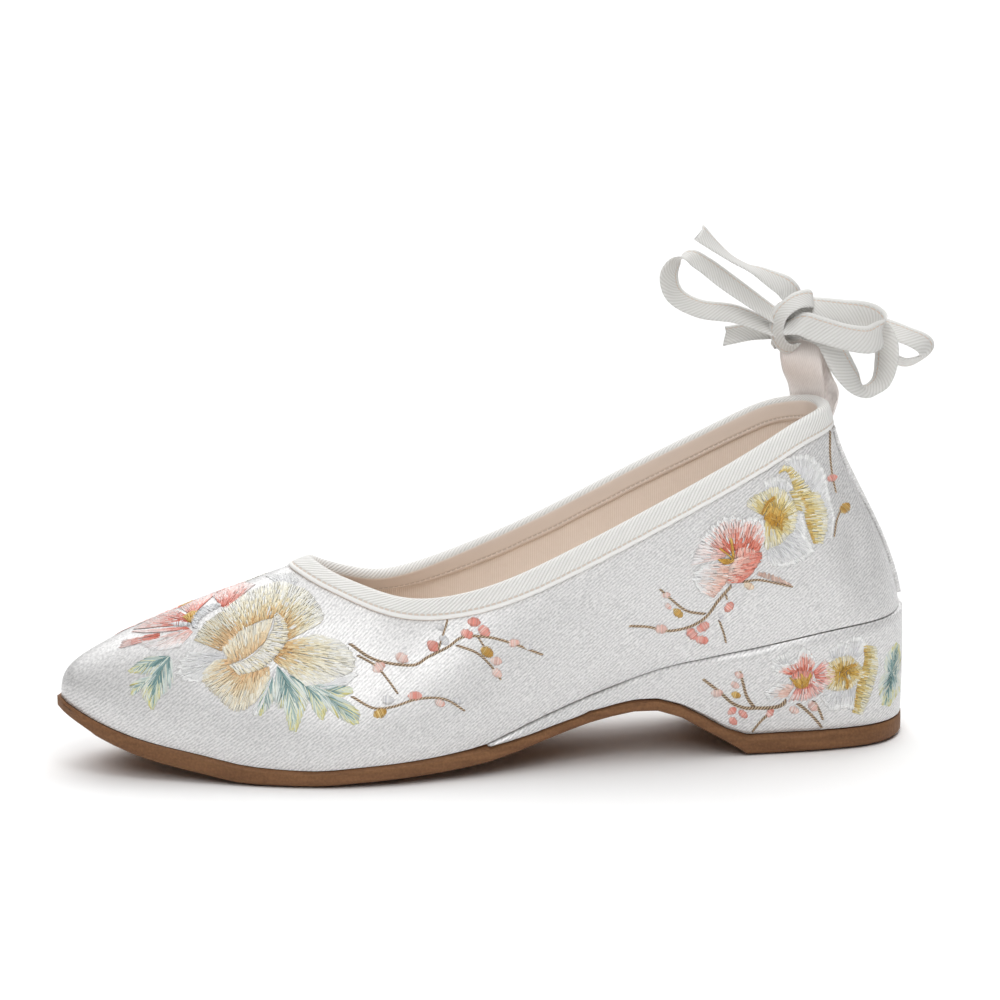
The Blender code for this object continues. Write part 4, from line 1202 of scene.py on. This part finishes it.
heelPetals = [
    ("white left", [(786, 672), (790, 670)], [(771, 671), (774, 659), (788, 652)], "snow", 0),
    ("white top", [(832, 659), (844, 657)], [(829, 651), (839, 643), (851, 645)], "snow", 0),
    ("white back", [(848, 655), (858, 658)], [(851, 638), (861, 637), (867, 645)], "snow", 0),
    ("white bottom", [(830, 692), (855, 686)], [(820, 697), (830, 710), (844, 708), (857, 711)], "snow", 0),
    ("pink top", [(791, 675), (799, 672), (811, 671)],
     [(774, 671), (780, 665), (794, 661), (802, 648), (809, 651), (816, 661)], "rose", 1),
    ("pink right", [(813, 672), (816, 680)], [(825, 659), (836, 671), (836, 679), (829, 686)], "coral", 1),
    ("pink left", [(795, 686), (787, 697)], [(780, 682), (766, 692), (768, 700)], "peach", 1),
    ("pink low", [(799, 684), (806, 684), (813, 680)], [(788, 702), (809, 700), (823, 692), (828, 686)],
     "coral", 1),
    ("pink heart", [(792, 686), (801, 688), (812, 683)], [(792, 673), (801, 669), (813, 671)], "tube", 2),
    ("gold heart", [(797, 688), (802, 689), (807, 687)], [(790, 679), (801, 675), (811, 674)], "gold", 3),
    ("yellow top", [(838, 673), (843, 671), (850, 672)],
     [(829, 662), (838, 657), (849, 655), (859, 663)], "ochre", 1),
    ("yellow low", [(837, 672), (843, 672), (850, 671)],
     [(826, 689), (836, 692), (849, 690), (859, 682)], "ochre", 1),
    ("yellow left", [(839, 671), (838, 675)], [(829, 662), (824, 672), (826, 689)], "ochre", 1),
    ("yellow right", [(849, 675), (850, 671)], [(859, 683), (865, 673), (859, 663)], "ochre", 1),
    ("yellow band", [(863, 645), (864, 661), (858, 680), (852, 712)],
     [(877, 647), (879, 665), (874, 688), (863, 715)], "sun", 1),
    ("white rim", [(874, 648), (875, 665), (872, 686)], [(878, 658), (880, 668), (877, 680)], "snow", 0),
]
heelLeaves = [
    ([(892, 678), (894, 658), (897, 643)], [(883, 675), (886, 655), (896, 643)],
     [(900, 675), (901, 658), (899, 645)]),
    ([(893, 670), (889, 686), (884, 705)], [(884, 668), (878, 687), (882, 705)],
     [(900, 672), (900, 690), (890, 706)]),
]
heelStrokes = [
    [(801, 686), (795, 682), (790, 678)],
    [(802, 685), (802, 679), (801, 673)],
    [(804, 685), (808, 679), (811, 673)],
    [(841, 673), (849, 666), (857, 664)],
    [(843, 675), (847, 680), (846, 689)],
]
heelBranches = [
    ([(787, 700), (780, 706), (768, 708), (756, 708), (745, 708), (732, 703), (721, 693),
      (712, 686), (703, 679)], 4.0),
    ([(754, 707), (747, 697), (743, 683), (740, 671)], 3.4),
    ([(797, 703), (806, 710), (816, 720), (822, 728)], 3.4),
    ([(813, 700), (819, 710), (823, 720)], 3.0),
    ([(770, 713), (761, 721), (752, 732)], 2.6),
]
heelBuds = [
    (717, 693, 5, "paleBud"), (735, 685, 4, "paleBud"), (739, 675, 4, "paleBud"),
    (736, 695, 4.2, "goldBud"), (732, 711, 4.2, "pinkBud"), (743, 714, 4.5, "pinkBud"),
    (733, 721, 4.2, "pinkBud"), (794, 710, 4.5, "paleBud"), (813, 706, 5.3, "paleBud"),
    (770, 713, 4.2, "pinkBud"),
]
stitch = {
    "width": 0.46 * mm, "height": 0.13 * mm,
    "pitch": 0.38,               # mm from stitch to stitch
    "length": 1.6,               # mm, before a row of stitches is split
    "profile": (0.3, 0.95, 1.0, 0.95, 0.3),      # height along a stitch, as a share
    "narrow": 0.55,              # width at a height of nothing, as a share
    "sink": 0.05 * mm,           # how far its edges lie in the cloth
    "tone": (0.82, 1.07),        # brightness from strand to strand
    "shortest": 0.2 * mm,        # a stitch under this is left out
    "jump": 4 * mm,              # and so is one that leaps from one form to another
    "clear": 4 * mm,             # on the hidden side stitches keep this far from the centre line
    "hiddenFrom": 0.2,           # metres, where the sight lines of the hidden side start
}
petal = {
    "gauges": (0.2, 0.5, 0.8),   # places along a petal where its depth is measured
    "samples": 13, "rimSamples": 17,     # points by which a row and a rim are measured
    "rowMiddle": 0.6,            # part of a row at which its stitches are counted
    "layerLift": 0.14 * mm,
    "pale": 0.30,                # share of near-white stitches mixed in towards an outer edge
    "shift": 0.35,               # unevenness of the pitch, as a share
    "overlap": (0.1, 0.8),       # how far a row reaches back into the one before, as a share of a row
    "reach": (-0.1, 0.6),        # how far it reaches into the next one
    "lastReach": (-0.30, 0.06),  # the same along the outer edge
    "tintCurve": 0.85, "tintSpread": 0.18,
    "tipShare": 1.2,             # how fast the tip's silk takes over
    "lift": (0.04, 0.12),        # mm
    "rim": 1.3,                  # mm, length of the short stitches along a rim
    "rimMost": 0.5,              # the same as a share of the petal, at most
    "rimShift": (0.2, 0.8), "rimLength": (0.7, 1.2),
    "scallop": 0.04, "scallopTurn": 1.1, "rimFringe": 0.03,
    "rimLift": 0.2 * mm,
    "leafSlant": 0.24,           # how far a leaf's stitches lean towards its tip, as a share of its length
}


def drop(tree, pixel):
    # Where the sight line through a pixel meets the cloth
    ray = sightLine(pixel[0], pixel[1])
    spot, normal, _, _ = tree.ray_cast(eye, ray)
    if spot is None:
        spot, normal, _, _ = tree.find_nearest(eye + ray * photoCamera["distance"])
    return spot, normal if normal.dot(ray) < 0 else -normal


def edgeCurve(points):
    # A smooth curve through a list of pixels, by its share of the length
    rows = np.array(points, float)
    steps = np.hypot(*np.diff(rows, axis=0).T)
    at = np.concatenate(([0], np.cumsum(steps))) / steps.sum()
    padded = np.vstack((2 * rows[0] - rows[1], rows, 2 * rows[-1] - rows[-2]))

    def curve(share):
        i = min(max(int(np.searchsorted(at, share, side="right")) - 1, 0), len(rows) - 2)
        t = (share - at[i]) / (at[i + 1] - at[i])
        return bend(*padded[i:i + 4], t)
    return curve


def dyeAt(silkName, share):
    shades = [toLinear(code) for code in silks[silkName]]
    place = min(max(share, 0), 1) * (len(shades) - 1)
    i = min(int(place), len(shades) - 2)
    tone = dice.uniform(*stitch["tone"])
    low = shades[i][:3]
    high = shades[i + 1][:3]
    return [min(1, (a + (b - a) * (place - i)) * tone) for a, b in zip(low, high)] + [1]


def addStrand(work, spots, normals, dye, lift, width):
    # A stitch is a three-sided strand with a rounded back that dips into the cloth at both ends
    base = len(work["points"])
    last = len(spots) - 1
    for k, share in enumerate(stitch["profile"]):
        ahead = spots[min(k + 1, last)] - spots[max(k - 1, 0)]
        broad = stitch["narrow"] + (1 - stitch["narrow"]) * share
        side = normals[k].cross(ahead).normalized() * width / 2 * broad
        foot = spots[k] + normals[k] * (lift * share - stitch["sink"])
        back = foot + normals[k] * (stitch["height"] * share + stitch["sink"])
        work["points"] += [foot - side, back, foot + side]
    for k in range(last):
        for i in range(3):
            j = (i + 1) % 3
            low = base + 3 * k
            work["faces"].append((low + i, low + j, low + 3 + j, low + 3 + i))
    end = base + 3 * last
    work["faces"] += [(base + 2, base + 1, base), (end, end + 1, end + 2)]
    work["dyes"] += dye * (3 * (last + 1))


def longestStep(spots):
    return max((a - b).length for a, b in zip(spots, spots[1:]))


def sew(works, tree, start, end, dye, lift, width):
    # One stitch on the seen side, and the same one on the hidden side if it lies clear of the middle
    near, far = works
    last = len(stitch["profile"]) - 1
    laid = [drop(tree, start + (end - start) * k / last) for k in range(last + 1)]
    spots = [spot for spot, _ in laid]
    if (spots[-1] - spots[0]).length < stitch["shortest"] or longestStep(spots) > stitch["jump"]:
        return
    addStrand(near, spots, [normal for _, normal in laid], dye, lift, width)
    hidden = []
    for spot in spots:
        outside = Vector((spot.x, stitch["hiddenFrom"], spot.z))
        place, normal, _, _ = tree.ray_cast(outside, Vector((0, -1, 0)))
        if place is None or place.y < shoe["middle"] + stitch["clear"]:
            return
        hidden.append((place, normal if normal.y > 0 else -normal))
    places = [place for place, _ in hidden]
    if longestStep(places) < stitch["jump"]:
        addStrand(far, places, [normal for _, normal in hidden], dye, lift, width)


def stitchCount(line):
    return max(3, int(pathLength(line) / mm / stitch["pitch"]))


def fillPetal(works, tree, inner, outer, silkName, layer, tipName=None, slant=0.0):
    # Rows of long and short stitches from the inner to the outer edge, and a white rim on some silks
    low, high = edgeCurve(inner), edgeCurve(outer)

    def between(along, share):
        return low(along) + (high(along) - low(along)) * share

    reaches = [(drop(tree, high(a))[0] - drop(tree, low(a))[0]).length / mm for a in petal["gauges"]]
    deep = sum(reaches) / len(reaches)
    rows = max(1, round(deep / stitch["length"]))
    for row in range(rows):
        share = (row + petal["rowMiddle"]) / rows
        count = stitchCount([drop(tree, between(a, share))[0] for a in np.linspace(0, 1, petal["samples"])])
        for i in range(count):
            a = min(max((i + 0.5 + dice.uniform(-petal["shift"], petal["shift"])) / count, 0), 1)
            begin = max(row / rows - (dice.uniform(*petal["overlap"]) / rows if row else 0), 0)
            spare = dice.uniform(*petal["reach"] if row < rows - 1 else petal["lastReach"])
            finish = (row + 1 + spare) / rows
            tint = max((begin + finish) / 2, 0) ** petal["tintCurve"]
            tint += dice.uniform(-petal["tintSpread"], petal["tintSpread"])
            if dice.random() < petal["pale"] * tint:
                tint = 1
            useTip = tipName is not None and dice.random() < a * a * petal["tipShare"]
            lift = layer * petal["layerLift"] + dice.uniform(*petal["lift"]) * mm
            dye = dyeAt(tipName if useTip else silkName, tint)
            start = between(a, begin)
            end = between(min(a + slant, 1), finish)
            sew(works, tree, start, end, dye, lift, stitch["width"])
    if silkName in rimmed:
        count = stitchCount([drop(tree, high(a))[0] for a in np.linspace(0, 1, petal["rimSamples"])])
        short = min(petal["rimMost"], petal["rim"] / max(deep, 0.1))
        lift = layer * petal["layerLift"] + petal["rimLift"]
        for i in range(count):
            a = (i + dice.uniform(*petal["rimShift"])) / count
            start = between(a, 1 - short * dice.uniform(*petal["rimLength"]))
            scallop = petal["scallop"] * math.sin(i * petal["scallopTurn"])
            end = between(a, 1 + scallop + dice.uniform(0, petal["rimFringe"]))
            sew(works, tree, start, end, dyeAt("rim", dice.random()), lift, stitch["width"])


branch = {
    "samples": 25,                       # points by which a branch is measured
    "pitch": 0.46, "length": 1.0,        # mm along the branch
    "slimmer": 2.1,                      # the width in the table is divided by this on each side
    "taper": 0.3,                        # how much thinner the tip is, as a share
    "shades": (0, 0.75),                 # the strands of the cord are dark and light in turn
    "lift": 0.15 * mm, "width": 0.42 * mm,
}


def layBranch(works, tree, points, width):
    # A twisted cord: short stitches laid askew, one behind the other
    curve = edgeCurve(points)
    length = pathLength([drop(tree, curve(a))[0] for a in np.linspace(0, 1, branch["samples"])]) / mm
    count = max(4, int(length / branch["pitch"]))
    for i in range(count):
        a = i / count
        b = min(a + branch["length"] / length, 1.0)
        along = curve(b) - curve(a)
        square = np.array((-along[1], along[0])) / max(np.linalg.norm(along), 0.001)
        side = square * width / branch["slimmer"] * (1 - branch["taper"] * a)
        dye = dyeAt("twig", branch["shades"][i % 2])
        sew(works, tree, curve(a) + side, curve(b) - side, dye, branch["lift"], branch["width"])


stamen = {
    "parts": ((0, 0.4), (0.3, 0.7), (0.6, 1.0)),     # stitches along it, as shares
    "shifts": (-0.6, 0.6),                           # pixels, two strands side by side
    "tint": (0.2, 0.8), "lift": 0.6 * mm, "width": 0.5 * mm,
}


def layStroke(works, tree, points):
    # A gold thread in the heart of a flower
    curve = edgeCurve(points)
    for a, b in stamen["parts"]:
        for shift in stamen["shifts"]:
            step = np.array((shift, shift))
            dye = dyeAt("gold", dice.uniform(*stamen["tint"]))
            sew(works, tree, curve(a) + step, curve(b) + step, dye, stamen["lift"], stamen["width"])


bud = {
    "lean": 0.9,                         # radians either way
    "least": 9, "perPixel": 3,           # stitches, at least and for each pixel of the radius
    "shift": 0.2,                        # unevenness of the pitch
    "across": 0.8, "along": 1.15,        # size of the oval, as shares of the radius
    "blunt": 0.05,                       # keeps its two ends from running out to a point
    "uneven": (0.85, 1.2),               # length of the stitches
    "foot": 0.08, "crown": 0.22,         # mm, lift at its ends and what the middle adds
    "tintFrom": 0.3, "tintOver": 0.5, "tintSpread": 0.4,
    "width": 0.36 * mm,
}


def layBud(works, tree, column, row, radius, silkName):
    # A small oval of stitches laid across it, paler on one side
    lean = dice.uniform(-bud["lean"], bud["lean"])
    along = np.array((math.cos(lean), math.sin(lean)))
    side = np.array((-along[1], along[0]))
    count = max(bud["least"], round(radius * bud["perPixel"]))
    for i in range(count):
        off = 2 * (i + 0.5 + dice.uniform(-bud["shift"], bud["shift"])) / count - 1
        oval = math.sqrt(max(1 - off * off, bud["blunt"]))
        half = side * radius * bud["across"] * oval * dice.uniform(*bud["uneven"])
        middle = np.array((column, row)) + along * off * radius * bud["along"]
        lift = (bud["foot"] + bud["crown"] * (1 - off * off)) * mm
        tint = bud["tintFrom"] + bud["tintOver"] * (off + 1) / 2
        tint += dice.uniform(-bud["tintSpread"], bud["tintSpread"])
        sew(works, tree, middle - half, middle + half, dyeAt(silkName, tint), lift, bud["width"])


def embroider(name, tree, petals, leaves, branches, buds, strokes):
    works = [{"points": [], "faces": [], "dyes": []} for _ in range(2)]
    for points, width in branches:
        layBranch(works, tree, points, width)
    for _, inner, outer, silkName, layer in sorted(petals, key=lambda row: row[-1]):
        fillPetal(works, tree, inner, outer, silkName, layer)
    for midrib, *outlines in leaves:
        for outline in outlines:
            fillPetal(works, tree, midrib, outline, "leaf", 0, "lime", petal["leafSlant"])
    for points in strokes:
        layStroke(works, tree, points)
    for row in buds:
        layBud(works, tree, *row)
    for side, work in zip(("Near", "Far"), works):
        piece = meshPiece(name + side, work["points"], work["faces"], silk)
        dyes = piece.data.color_attributes.new("dye", "FLOAT_COLOR", "POINT")
        dyes.data.foreach_set("color", work["dyes"])
        faceOutwards(piece)
        dress(piece, "satin")
        print("embroidered", piece.name, len(work["faces"]) * 2, "triangles")


embroider("toeFlowers", upperSkin, toePetals, toeLeaves, [], [], [])
embroider("vampBranch", upperSkin, [], [], sideBranches, sideBuds, [])
embroider("quarterFlowers", upperSkin, quarterPetals, [], quarterBranches, quarterBuds, quarterStrokes)
embroider("heelFlowers", wedgeSkin, heelPetals, heelLeaves, heelBranches, heelBuds, heelStrokes)


# Studio: pale floor, large soft lights
studio = {
    "floor": "#FDFDFD", "floorGloss": 0.9,
    "floorSize": 12, "floorHeight": -0.0004,                 # metres
    "air": 0.10,                                             # strength of the even light all round
    "skyFrom": (0.05, 0.42, 0.90), "sky": 2.0, "skySpread": 95,      # direction, W/m2 and degrees
    "boxes": [
        # name, place and size in metres, watts, point that it faces
        ("topBox", (0.05, -0.36, 0.55), 0.30, 1.1, (0, 0, 0.05)),
        ("frontBox", (-0.2, -0.95, 0.75), 0.5, 3.5, (0.02, 0, 0.06)),
        ("backdropLight", (0.2, 1.9, 1.5), 2.5, 26.0, (0, 1.4, 0)),
    ],
}


def makeStudio():
    bpy.ops.mesh.primitive_plane_add(size=studio["floorSize"], location=(0, 0, studio["floorHeight"]))
    floor = bpy.context.active_object
    floor.name = "paperFloor"
    # Seamless paper: matt white
    paper, _ = newFinish("seamlessPaper", {
        "Base Color": toLinear(studio["floor"]), "Roughness": studio["floorGloss"]})
    floor.data.materials.append(paper)
    for name, place, size, power, aim in studio["boxes"]:
        bpy.ops.object.light_add(type="AREA", location=place)
        box = bpy.context.active_object
        box.name = name
        box.data.size = size
        box.data.energy = power
        box.rotation_mode = "QUATERNION"
        box.rotation_quaternion = (Vector(place) - Vector(aim)).to_track_quat("Z", "Y")
    bpy.ops.object.light_add(type="SUN", location=Vector(studio["skyFrom"]) * 2)
    sky = bpy.context.active_object
    sky.name = "overheadLight"
    sky.data.energy = studio["sky"]
    sky.data.angle = math.radians(studio["skySpread"])
    sky.rotation_mode = "QUATERNION"
    sky.rotation_quaternion = Vector(studio["skyFrom"]).to_track_quat("Z", "Y")
    world = bpy.data.worlds.new("studioAir")
    world.use_nodes = True
    background = world.node_tree.nodes["Background"]
    background.inputs["Color"].default_value = (1, 1, 1, 1)
    background.inputs["Strength"].default_value = studio["air"]
    bpy.context.scene.world = world
    bpy.context.scene.view_settings.view_transform = "Standard"


makeStudio()
print("studio set")
